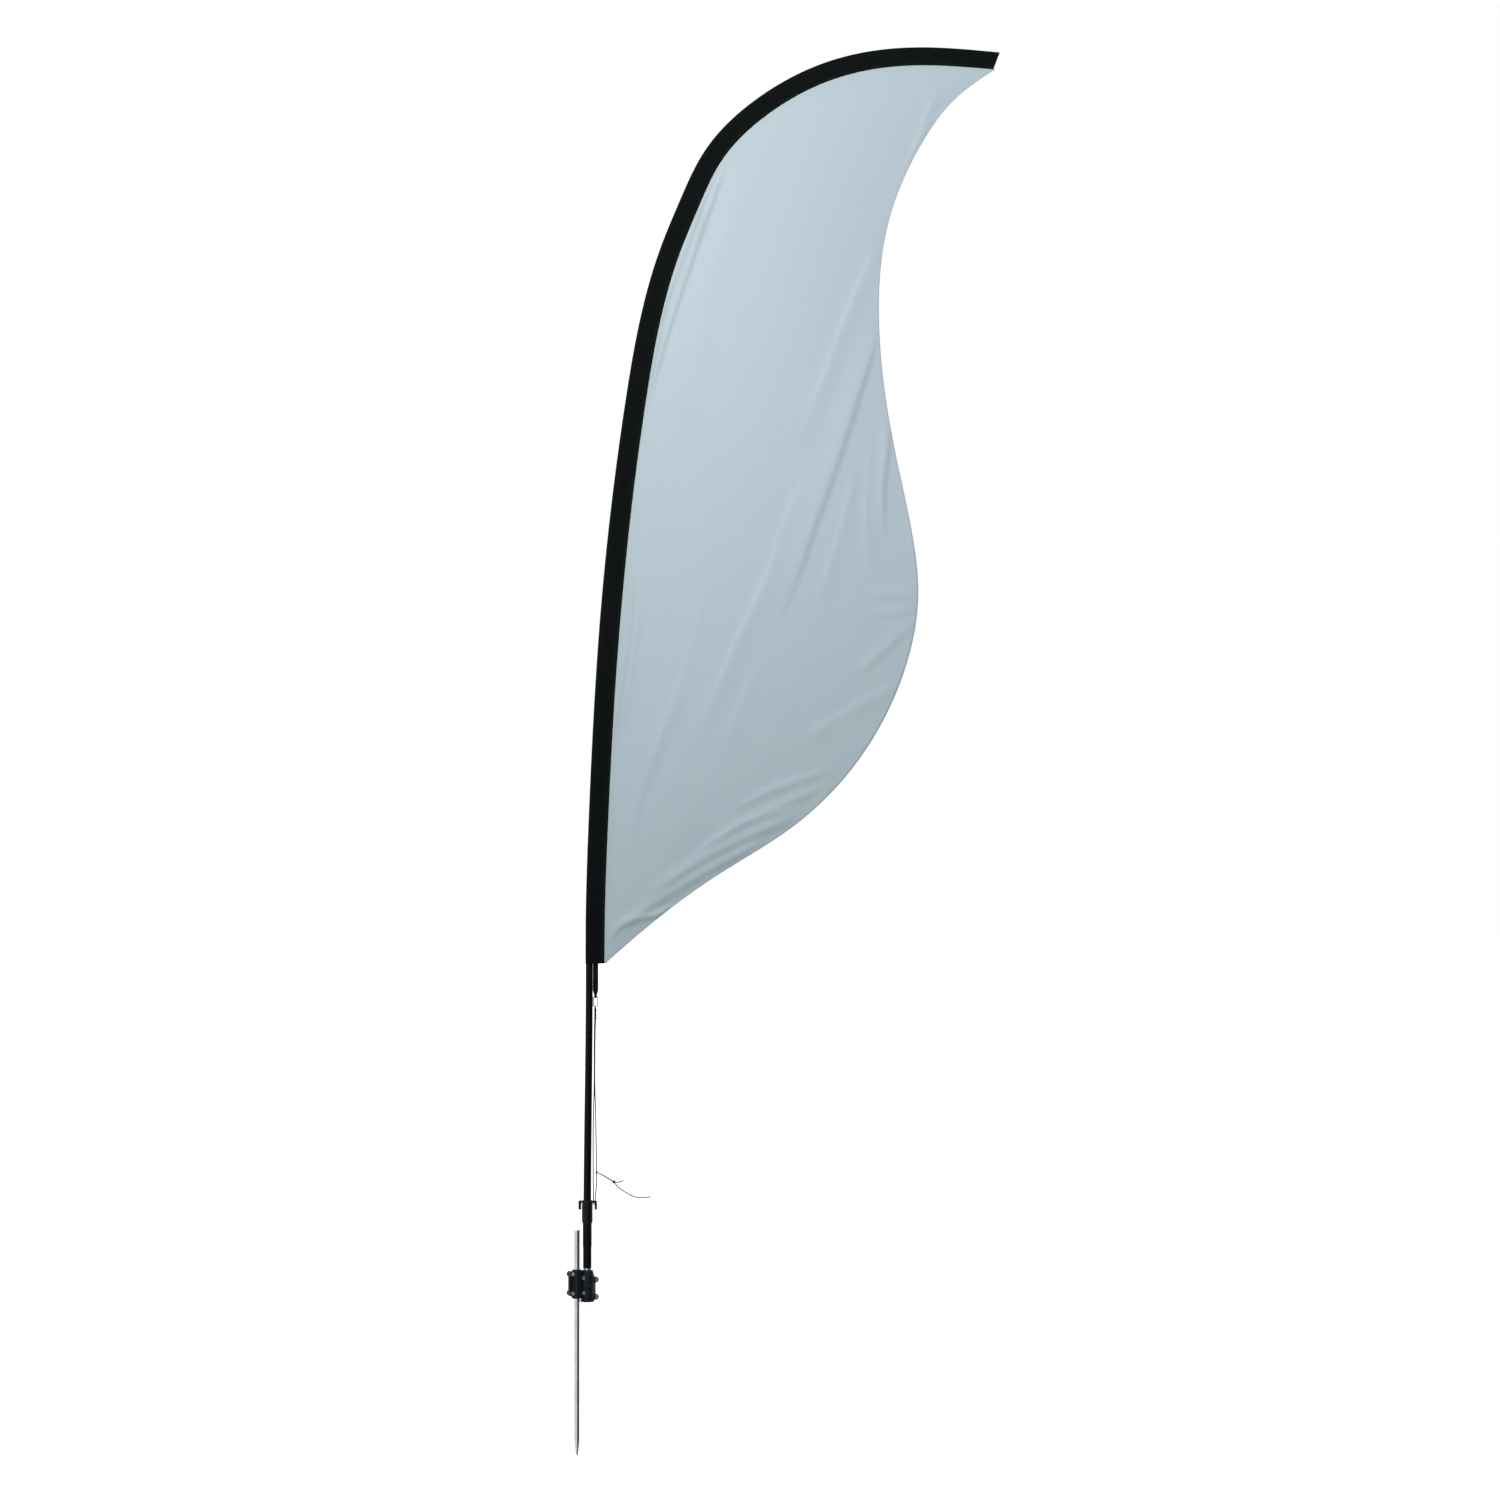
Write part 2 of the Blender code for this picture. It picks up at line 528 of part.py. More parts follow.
# ---- spindle and tube ----------------------------------------------------------------------------------
def make_spindle(axle):
    """Spindle, two bushes, retaining ring and end cap, in the housing."""
    groove_low = LOWER_BUSH_BOTTOM - GAP - RING_HEIGHT
    groove = SPINDLE_RADIUS - RING_GROOVE_DEPTH
    collar_low = HOUSING_TOP + GAP
    collar_high = collar_low + SPINDLE_COLLAR_HEIGHT
    end = SPINDLE_RADIUS - SPINDLE_CHAMFER
    spindle = turned("spindle", ((end, SPINDLE_BOTTOM), (SPINDLE_RADIUS, SPINDLE_BOTTOM + SPINDLE_CHAMFER),
                                 (SPINDLE_RADIUS, groove_low - GAP), (groove, groove_low - GAP),
                                 (groove, groove_low + RING_HEIGHT + GAP),
                                 (SPINDLE_RADIUS, groove_low + RING_HEIGHT + GAP),
                                 (SPINDLE_RADIUS, collar_low), (SPINDLE_COLLAR_RADIUS, collar_low),
                                 (SPINDLE_COLLAR_RADIUS, collar_high), (SPINDLE_RADIUS, collar_high),
                                 (SPINDLE_RADIUS, TUBE_SEAT_HEIGHT - GAP - SPINDLE_CHAMFER),
                                 (end, TUBE_SEAT_HEIGHT - GAP)), "zinc_steel", axle)
    bore = SPINDLE_RADIUS + BUSH_BORE_CLEARANCE
    for name, low in (("lower_bush", LOWER_BUSH_BOTTOM), ("upper_bush", HOUSING_TOP - BUSH_HEIGHT)):
        high = low + BUSH_HEIGHT
        turned(name, ((bore, low), (bore, high), (BUSH_RADIUS, high), (BUSH_RADIUS, low)),
               "bush_acetal", axle, closed=True)
    turned("retaining_ring", ((groove + GAP, groove_low), (groove + GAP, groove_low + RING_HEIGHT),
                              (RING_RADIUS, groove_low + RING_HEIGHT), (RING_RADIUS, groove_low)),
           "nickel_steel", axle, closed=True)
    cap_top = HOUSING_BOTTOM - GAP
    lip = BUSH_RADIUS
    inner = lip - CAP_WALL
    floor = SPINDLE_BOTTOM - GAP - CAP_FLOOR
    outline = [(CAP_RADIUS * share, cap_top - CAP_HEIGHT + height) for share, height in CAP_OUTLINE]
    turned("housing_cap", outline + [(CAP_RADIUS, cap_top), (lip, cap_top), (lip, cap_top + CAP_SPIGOT),
                                     (inner, cap_top + CAP_SPIGOT), (inner, floor)],
           "clamp_nylon", axle)
    return spindle


def make_tube(axle, spindle):
    """The lower tube over the spindle, the stop that the pole stands on, and the rivet through both."""
    neck_bore = SPINDLE_RADIUS + GAP
    pole_bore = POLE_FOOT_RADIUS + GAP
    tube = turned("lower_tube", ((neck_bore, TUBE_BOTTOM), (TUBE_NECK_RADIUS, TUBE_BOTTOM),
                                 (TUBE_NECK_RADIUS, TUBE_STEP_HEIGHT),
                                 (TUBE_RADIUS, TUBE_STEP_HEIGHT + TUBE_STEP_SLOPE),
                                 (TUBE_RADIUS, TUBE_TOP), (pole_bore, TUBE_TOP),
                                 (pole_bore, TUBE_SEAT_HEIGHT), (neck_bore, TUBE_SEAT_HEIGHT)),
                  "black_tube", axle, closed=True)
    stop_low = TUBE_SEAT_HEIGHT + GAP
    turned("pole_stop", ((POLE_FOOT_RADIUS, stop_low), (POLE_FOOT_RADIUS, stop_low + STOP_HEIGHT)),
           "black_rubber", axle)
    through = Matrix.Translation((0.0, 0.0, RIVET_HEIGHT)) @ Matrix.Rotation(math.radians(90.0), 4, "X")
    past = TUBE_RADIUS + OVERCUT
    hole = turned("rivet_hole", ((RIVET_RADIUS + GAP, -past), (RIVET_RADIUS + GAP, past)),
                  parent=axle, segments=12, place=through)
    combine(spindle, hole, "DIFFERENCE")
    combine(tube, hole, "DIFFERENCE")
    hide(hole)
    seat = TUBE_NECK_RADIUS + GAP
    crown = seat + RIVET_HEAD_HEIGHT
    turned("tube_rivet", ((RIVET_HEAD_RADIUS * 0.5, -crown), (RIVET_HEAD_RADIUS, -seat - RIVET_RIM),
                          (RIVET_HEAD_RADIUS, -seat), (RIVET_RADIUS, -seat), (RIVET_RADIUS, seat),
                          (RIVET_HEAD_RADIUS, seat), (RIVET_HEAD_RADIUS, seat + RIVET_RIM),
                          (RIVET_HEAD_RADIUS * 0.5, crown)), "nickel_steel", axle, segments=12, place=through)


def make_hook_collar(axle):
    """The collar over the tube's mouth: three down-turned ears for the cord, and a set screw."""
    tube_bore = TUBE_RADIUS + GAP
    pole_bore = POLE_FOOT_RADIUS + GAP
    collar = turned("hook_collar", ((tube_bore, COLLAR_BOTTOM),
                                    (COLLAR_RADIUS - COLLAR_CHAMFER * 0.6, COLLAR_BOTTOM),
                                    (COLLAR_RADIUS, COLLAR_BOTTOM + COLLAR_CHAMFER),
                                    (COLLAR_RADIUS, EAR_TOP - COLLAR_CHAMFER / 2),
                                    (COLLAR_RADIUS - COLLAR_CHAMFER, COLLAR_TOP), (pole_bore, COLLAR_TOP),
                                    (pole_bore, TUBE_TOP + GAP), (tube_bore, TUBE_TOP + GAP)),
                    "collar_nylon", axle, closed=True)
    root = (COLLAR_RADIUS + tube_bore) / 2.0
    tip = EAR_REACH - EAR_TIP_THICKNESS
    outline = ((root, EAR_UNDERSIDE), (tip, EAR_UNDERSIDE), (tip, EAR_TIP_BOTTOM),
               (EAR_REACH, EAR_TIP_BOTTOM), (EAR_REACH, EAR_TOP - EAR_BEVEL),
               (EAR_REACH - EAR_BEVEL, EAR_TOP), (root, EAR_TOP))
    for number, angle in enumerate(EAR_ANGLES, 1):
        stand = Matrix.Rotation(math.radians(angle), 4, "Z") @ Matrix.Rotation(math.radians(90.0), 4, "X")
        ear = prism(f"ear_{number}", outline, -EAR_HALF_WIDTH, EAR_HALF_WIDTH, stand, parent=axle)
        combine(collar, ear, "UNION")
        hide(ear)
    out = (Matrix.Translation((0.0, 0.0, COLLAR_SCREW_HEIGHT))
           @ Matrix.Rotation(math.radians(COLLAR_SCREW_ANGLE), 4, "Z")
           @ Matrix.Rotation(math.radians(90.0), 4, "Y"))
    thread = COLLAR_SCREW_RADIUS + GAP
    hole = turned("collar_screw_hole", ((thread, TUBE_RADIUS), (thread, COLLAR_RADIUS + OVERCUT)),
                  parent=axle, segments=12, place=out)
    combine(collar, hole, "DIFFERENCE")
    hide(hole)
    head = COLLAR_RADIUS + COLLAR_SCREW_PROUD
    turned("collar_screw", ((COLLAR_SCREW_RADIUS, TUBE_RADIUS + GAP),
                            (COLLAR_SCREW_RADIUS, head - COLLAR_SCREW_CHAMFER),
                            (COLLAR_SCREW_RADIUS - COLLAR_SCREW_CHAMFER, head), (COLLAR_SCREW_SOCKET, head),
                            (COLLAR_SCREW_SOCKET, head - COLLAR_SCREW_PROUD)),
           "nickel_steel", axle, segments=12, place=out)


# ---- pole ----------------------------------------------------------------------------------------------
def make_pole():
    """Four tapered tubes end to end on inner spigots, with a plug at the foot and a cap at the tip."""
    for section in range(POLE_SECTIONS):
        first = section * STATIONS_PER_SECTION
        distances = [(first + k) * STATION_STEP for k in range(STATIONS_PER_SECTION + 1)]
        distances[0] += GAP / 2
        distances[-1] -= GAP / 2
        outer = [pole_ring(s, pole_radius(s)) for s in distances]
        inner = [pole_ring(s, pole_radius(s) - POLE_WALL) for s in reversed(distances)]
        loft(f"pole_section_{section + 1}", outer + inner, "pole_fibreglass", closed=True)
    for joint in range(1, POLE_SECTIONS):
        middle = joint * STATIONS_PER_SECTION
        distances = [(middle + k) * STATION_STEP for k in (-1, 0, 1)]
        loft(f"pole_spigot_{joint}", [pole_ring(s, pole_radius(s) - POLE_WALL - GAP) for s in distances],
             "zinc_steel")
    foot = Matrix.Translation((SPINDLE_AXIS.x, SPINDLE_AXIS.y, POLE_FOOT - PLUG_FLANGE))
    stem = pole_radius(PLUG_STEM) - POLE_WALL - 2 * GAP
    turned("pole_foot_plug", ((POLE_FOOT_RADIUS - PLUG_CHAMFER, 0.0), (POLE_FOOT_RADIUS, PLUG_CHAMFER),
                              (POLE_FOOT_RADIUS, PLUG_FLANGE - GAP), (stem, PLUG_FLANGE - GAP),
                              (stem, PLUG_FLANGE + PLUG_STEM)), "black_rubber", place=foot)
    rise = Matrix.Translation(flag_point(*pole_frame(POLE_LENGTH)[:2], 0.0, 0.0))
    along = pole_frame(POLE_LENGTH)[2]
    lean = Vector((along[0], 0.0, along[1])).to_track_quat("Z", "Y").to_matrix().to_4x4()
    tip_stem = POLE_TIP_RADIUS - POLE_WALL - GAP
    turned("pole_tip_cap", ((tip_stem, -PLUG_STEM), (tip_stem, GAP), (POLE_TIP_RADIUS, GAP),
                            (POLE_TIP_RADIUS, TIP_CAP_RIM), (POLE_TIP_RADIUS * 0.5, TIP_CAP_HEIGHT)),
           "black_rubber", segments=12, place=rise @ lean)


# ---- sleeve and sail -------------------------------------------------------------------------------------
def sleeve_stations():
    """Distances along the pole's line at which the sleeve and the sail have a row, foot to tip."""
    climbing = POLE_LINE[:int(np.argmax(POLE_LINE[:, 1]))]
    start = float(np.interp(SLEEVE_FOOT, climbing[:, 1], lengths_along(climbing)))
    first = int(start / STATION_STEP) + 1
    between = [k * STATION_STEP for k in range(first, POLE_SECTIONS * STATIONS_PER_SECTION)]
    return [start] + between + [POLE_LENGTH]


SLEEVE_STATIONS = sleeve_stations()
SLEEVE_START = SLEEVE_STATIONS[0]


def sleeve_width(distance):
    """The sleeve's flat width, eased between its named widths."""
    share = (distance - SLEEVE_START) / (POLE_LENGTH - SLEEVE_START)
    return float(np.interp(share, np.linspace(0.0, 1.0, len(SLEEVE_WIDTHS)), SLEEVE_WIDTHS))


def seam_inset(distance):
    """How far inward of the pole's centre the sleeve ends and the sail begins."""
    return sleeve_width(distance) - pole_radius(distance) - GAP - SLEEVE_CLOTH


def sleeve_ring(distance, wall, seam, shear=0.0):
    """A drop-shaped ring: half round over the pole, then straight to the flat seam."""
    centre, normal, along = pole_frame(distance)
    radius = pole_radius(distance) + GAP + wall
    end = seam_inset(distance) - seam
    half = SEAM_HALF_THICKNESS - SLEEVE_CLOTH + wall
    plane = [(end, half), (end * 0.5, (half + radius) * 0.5)]
    plane += [(radius * math.cos(angle), radius * math.sin(angle))
              for angle in np.linspace(0.5, 1.5, 9) * math.pi]
    plane += [(end * 0.5, -(half + radius) * 0.5), (end, -half)]
    ring = []
    for inward, sideways in plane:
        slant = -shear * (inward + radius)
        moved = centre + along * slant
        ring.append(flag_point(moved, normal, inward, sideways))
    return ring


def make_sleeve():
    """The open-footed sleeve: an outer and an inner skin joined at the foot, closed at the tip."""
    outer = [sleeve_ring(s, SLEEVE_CLOTH, 0.0) for s in SLEEVE_STATIONS[:-1]]
    inner = [sleeve_ring(s, 0.0, SLEEVE_SEAM) for s in SLEEVE_STATIONS[:-1]]
    along = pole_frame(POLE_LENGTH)[2]
    onward = Vector((along[0], 0.0, along[1]))
    outer.append([point + onward * SLEEVE_TIP_OUTSIDE
                  for point in sleeve_ring(POLE_LENGTH, SLEEVE_CLOTH, 0.0, SLEEVE_TIP_SHEAR)])
    inner.append([point + onward * SLEEVE_TIP_INSIDE
                  for point in sleeve_ring(POLE_LENGTH, 0.0, SLEEVE_SEAM)])
    loft("sleeve", list(reversed(outer)) + inner, "sleeve_cloth")


def make_sail():
    """The sail: straight rows from the seam to the trailing edge, bellied forward, edge curled back."""
    distances = [POLE_LENGTH - SAIL_TIP_BACK] + list(reversed(SLEEVE_STATIONS[:-1]))
    rows = len(distances)
    leading = []
    for distance in distances:
        centre, normal, _ = pole_frame(distance)
        leading.append(centre + normal * (seam_inset(distance) + GAP))
    leading = np.array(leading)
    corner = np.array((SAIL_CORNER, 0.0))
    edge = cubic_spline(np.vstack((leading[0] + corner, in_flag_plane(TRAILING_EDGE), leading[-1] + corner)),
                        2000)
    trailing = sample(edge, np.linspace(0.0, lengths_along(edge)[-1], rows))
    across_sail = np.linspace(0.0, 1.0, SAIL_COLUMNS)
    rings = []
    for row in range(rows):
        down = row / (rows - 1)
        fullness = math.sin(math.pi * down) ** BELLY_SPREAD
        front, back = [], []
        for share in across_sail:
            x, z = leading[row] + (trailing[row] - leading[row]) * share
            belly = SAIL_BELLY * math.sin(math.pi * share ** BELLY_LEAN)
            depth = fullness * (SAIL_CURL * share ** 3 - belly)
            y = SPINDLE_AXIS.y + depth
            front.append(Vector((x, y - SAIL_THICKNESS / 2, z)))
            back.append(Vector((x, y + SAIL_THICKNESS / 2, z)))
        rings.append(front + list(reversed(back)))
    loft("sail", rings, "sail_cloth")


# ---- tab, ring and cord ----------------------------------------------------------------------------------
def tab_centre():
    """Centre of the tab across the flag, just clear of the pole at the sleeve's foot."""
    centre, _, _ = pole_frame(SLEEVE_START)
    return centre[0] + pole_radius(SLEEVE_START) + GAP + TAB_WIDTH / 2


def make_tab():
    """A doubled webbing tab under the sleeve, its lower end folded round the ring's top bar."""
    top = SLEEVE_FOOT - TAB_TO_SLEEVE
    bar = top - TAB_LENGTH
    eye = RING_WIRE_RADIUS + GAP
    wall = TAB_THICKNESS / 2
    half = TAB_THICKNESS / 2
    loop = eye + wall
    outer = [(-half, top)]
    outer += [(loop * math.cos(a), bar + loop * math.sin(a))
              for a in np.radians(np.linspace(120.0, 420.0, 15))]
    outer += [(half, top)]
    inner = [(eye * math.cos(a), bar + eye * math.sin(a))
             for a in np.linspace(0.0, math.tau, 15, endpoint=False)]
    middle = tab_centre()

    def side(points, sign):
        placed = []
        for y, z in points:
            share = min(max((z - bar) / TAB_TAPER - 0.6, 0.0), 1.0)
            width = TAB_NECK_WIDTH + (TAB_WIDTH - TAB_NECK_WIDTH) * share
            placed.append(Vector((middle + sign * width / 2, SPINDLE_AXIS.y + y, z)))
        return placed

    shoulder = [(-half, bar + TAB_SHOULDER), (half, bar + TAB_SHOULDER)]
    outline = outer[:1] + shoulder[:1] + outer[1:-1] + shoulder[1:] + outer[-1:]
    tab = loft("tension_tab", [side(outline, -1.0), side(outline, 1.0)], "black_webbing")
    eye_cutter = loft("tab_eye", [[Vector((middle + x, SPINDLE_AXIS.y + y, z)) for y, z in inner]
                                  for x in (-TAB_WIDTH, TAB_WIDTH)])
    combine(tab, eye_cutter, "DIFFERENCE")
    hide(eye_cutter)
    return bar


def make_tab_ring(bar):
    """A wire ring: straight top bar through the tab, rounded corners, rounded foot."""
    wide = RING_WIDTH / 2 - RING_WIRE_RADIUS
    tall = RING_LENGTH - 2 * RING_WIRE_RADIUS
    top = RING_TOP_CORNER
    foot = RING_FOOT_CORNER
    route = []
    for cx, cz, corner, start in ((wide - top, -top, top, 0.0),
                                  (top - wide, -top, top, 90.0),
                                  (foot - wide, foot - tall, foot, 180.0),
                                  (wide - foot, foot - tall, foot, 270.0)):
        for angle in np.radians(np.linspace(start, start + 90.0, 5)):
            route.append((cx + corner * math.cos(angle), cz + corner * math.sin(angle)))
    route = np.array(route)
    ahead = np.roll(route, -1, axis=0) - np.roll(route, 1, axis=0)
    ahead /= np.linalg.norm(ahead, axis=1)[:, None]
    middle = tab_centre()
    section = [(RING_WIRE_RADIUS * math.cos(a), RING_WIRE_RADIUS * math.sin(a))
               for a in np.linspace(0.0, math.tau, 10, endpoint=False)]
    rings = []
    for (x, z), (dx, dz) in zip(route, ahead):
        rings.append([Vector((middle + x + dz * side, SPINDLE_AXIS.y + forward, bar + z - dx * side))
                      for side, forward in section])
    loft("tab_ring", rings, "nickel_steel", closed=True)


def make_cords(bar):
    """Elastic loop from the ring to the right-hand ear, its hitch, its knots and its two tails."""
    hitch = Matrix.Translation((HITCH_X, SPINDLE_AXIS.y, 0.0))
    top = bar + RING_WIRE_RADIUS - RING_LENGTH - GAP
    turned("ring_hitch", ((HITCH_RADIUS * 0.7, HITCH_BOTTOM), (HITCH_RADIUS, HITCH_BOTTOM + 0.0020),
                          (HITCH_RADIUS * 0.85, (HITCH_BOTTOM + top) / 2),
                          (HITCH_RADIUS, top - 0.0020), (HITCH_RADIUS * 0.7, top)),
           "elastic_cord", segments=12, place=hitch)
    for name, centre in (("cord_knot", KNOT_CENTRE), ("tail_knot", TAIL_KNOT_CENTRE)):
        profile = [(KNOT_RADIUS * math.cos(a), KNOT_RADIUS * math.sin(a))
                   for a in np.radians(np.linspace(-60.0, 60.0, 5))]
        turned(name, profile, "elastic_cord", segments=12, place=Matrix.Translation(centre))
    for name, points in (("cord_front", CORD_FRONT), ("cord_rear", CORD_REAR), ("cord_tail_long", TAIL_LONG),
                         ("cord_tail_short", TAIL_SHORT), ("tail_end_long", TAIL_END_LONG),
                         ("tail_end_short", TAIL_END_SHORT)):
        tube_along(name, points, CORD_RADIUS, "elastic_cord")


def main():
    clear_scene()
    bracket = empty("clamp_frame", (0.0, 0.0, 0.0), CLAMP_YAW)
    axle = empty("spindle_axis", SPINDLE_AXIS)
    make_stake()
    make_clamp(bracket)
    make_clamp_fasteners(bracket)
    spindle = make_spindle(axle)
    make_tube(axle, spindle)
    make_hook_collar(axle)
    make_pole()
    make_sleeve()
    make_sail()
    bar = make_tab()
    make_tab_ring(bar)
    make_cords(bar)


main()
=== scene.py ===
"""Feather flag with pole: the cloth, cord, pole, clamp and stake as they look, around their fixed frame.

Metres, +Z up. The origin is on the ground stake's axis at the ground line, and the flag's plane faces -Y.
"""

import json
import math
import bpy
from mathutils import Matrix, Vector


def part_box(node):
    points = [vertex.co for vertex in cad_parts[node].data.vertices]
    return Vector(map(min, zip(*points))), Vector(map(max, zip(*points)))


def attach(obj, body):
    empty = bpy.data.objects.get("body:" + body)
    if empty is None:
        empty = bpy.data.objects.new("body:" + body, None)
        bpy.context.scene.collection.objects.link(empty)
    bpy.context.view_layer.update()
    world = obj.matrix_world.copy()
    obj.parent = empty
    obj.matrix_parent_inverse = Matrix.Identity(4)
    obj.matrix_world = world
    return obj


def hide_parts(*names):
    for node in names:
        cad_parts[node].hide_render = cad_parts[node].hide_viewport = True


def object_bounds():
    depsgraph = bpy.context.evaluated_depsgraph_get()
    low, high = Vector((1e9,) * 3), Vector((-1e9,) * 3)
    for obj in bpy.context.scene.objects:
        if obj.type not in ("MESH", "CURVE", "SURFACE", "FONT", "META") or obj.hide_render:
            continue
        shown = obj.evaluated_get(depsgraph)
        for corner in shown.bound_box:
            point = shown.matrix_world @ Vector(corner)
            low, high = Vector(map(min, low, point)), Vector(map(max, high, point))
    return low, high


bl_info = {
    "name": "Feather Flag Workshop",
    "version": (1, 0, 0),
    "blender": (4, 5, 0),
    "location": "3D View > Sidebar > Feather Flag",
    "description": "Makes the sail, sleeve, pole, cord and ground clamp of a feather flag",
    "category": "Object",
}

import bpy
import numpy as np
from bpy.props import FloatProperty, FloatVectorProperty, IntProperty, PointerProperty
from mathutils import Vector

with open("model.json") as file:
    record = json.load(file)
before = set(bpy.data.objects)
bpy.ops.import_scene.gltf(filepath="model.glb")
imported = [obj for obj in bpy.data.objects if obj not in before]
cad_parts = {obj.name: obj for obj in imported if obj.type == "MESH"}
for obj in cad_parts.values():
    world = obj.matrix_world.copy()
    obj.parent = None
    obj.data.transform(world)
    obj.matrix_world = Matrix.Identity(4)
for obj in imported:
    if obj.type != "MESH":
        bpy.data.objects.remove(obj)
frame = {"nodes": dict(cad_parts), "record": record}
CAD_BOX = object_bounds()

# ---- sizes shared with the frame -----------------------------------------------------------------
GAP = 0.0003
SPINDLE_X, SPINDLE_Y = 0.025393686, 0.012938729
POLE_FOOT = 0.2316
POLE_RISE = 2.9384
POLE_REACH = 1.0201
POLE_FOOT_RADIUS = 0.00975
POLE_TIP_RADIUS = 0.0042
POLE_WALL = 0.0016
POLE_SECTIONS = 4
POLE_BEND = ((0.0, 0.0), (0.0002, 0.0267), (0.0048, 0.2002), (0.0056, 0.2717), (0.0131, 0.3568),
             (0.0430, 0.5355), (0.1010, 0.7053), (0.1838, 0.8326), (0.2331, 0.8748), (0.2946, 0.9173),
             (0.4155, 0.9594), (0.5963, 0.9923), (0.7886, 1.0037), (1.0, 1.0))

SLEEVE_FOOT = 0.8975
SLEEVE_WIDTHS = (0.0475, 0.0515, 0.0500, 0.0440)
SLEEVE_CLOTH = 0.0006
SEAM_HALF_THICKNESS = 0.0012
SLEEVE_TIP_SHEAR = 0.28
SLEEVE_TIP_OUTSIDE = 0.0110
SLEEVE_OVERHANG = 0.0012
STRAP_THICKNESS = 0.0020                    # both layers
STRAP_NECK = 0.0070
STRAP_TAPER = 0.0100
STRAP_SHOULDER = 0.0140
STRAP_PLAY = 0.0001                         # between the strap and the ring
CLAMP_YAW = math.radians(27.0)
STAKE_RADIUS = 0.0070
STAKE_TOP = 0.2310
STAKE_TIP = -0.3315
STAKE_POINT = 0.0365                        # length of the taper
STAKE_POINT_RADIUS = 0.0030
SPINDLE_RADIUS, SPINDLE_GROOVE, SPINDLE_COLLAR = 0.0080, 0.0068, 0.0106
COLLAR_BOTTOM, COLLAR_TOP = 0.1303, 0.1347
AXIS = 0.0004                               # where a turned profile starts and ends, beside its axis
SCREW_RADIUS, HEAD_RADIUS, HEAD_HEIGHT, SOCKET_RADIUS = 0.0025, 0.0044, 0.0028, 0.0016

TRAILING_EDGE = ((0.9000, 0.9612), (0.8248, 0.9268), (0.7366, 0.8545), (0.7148, 0.7822),
                 (0.7542, 0.6631), (0.8032, 0.5780), (0.8116, 0.5457), (0.7740, 0.4717),
                 (0.6366, 0.3866), (0.5092, 0.3440), (0.3200, 0.3015), (0.1533, 0.2590))
SAIL_CORNER = 0.0040
SEAM_OVERLAP = 0.0035
BELLY_LEAN = 0.85
BELLY_SPREAD = 0.8

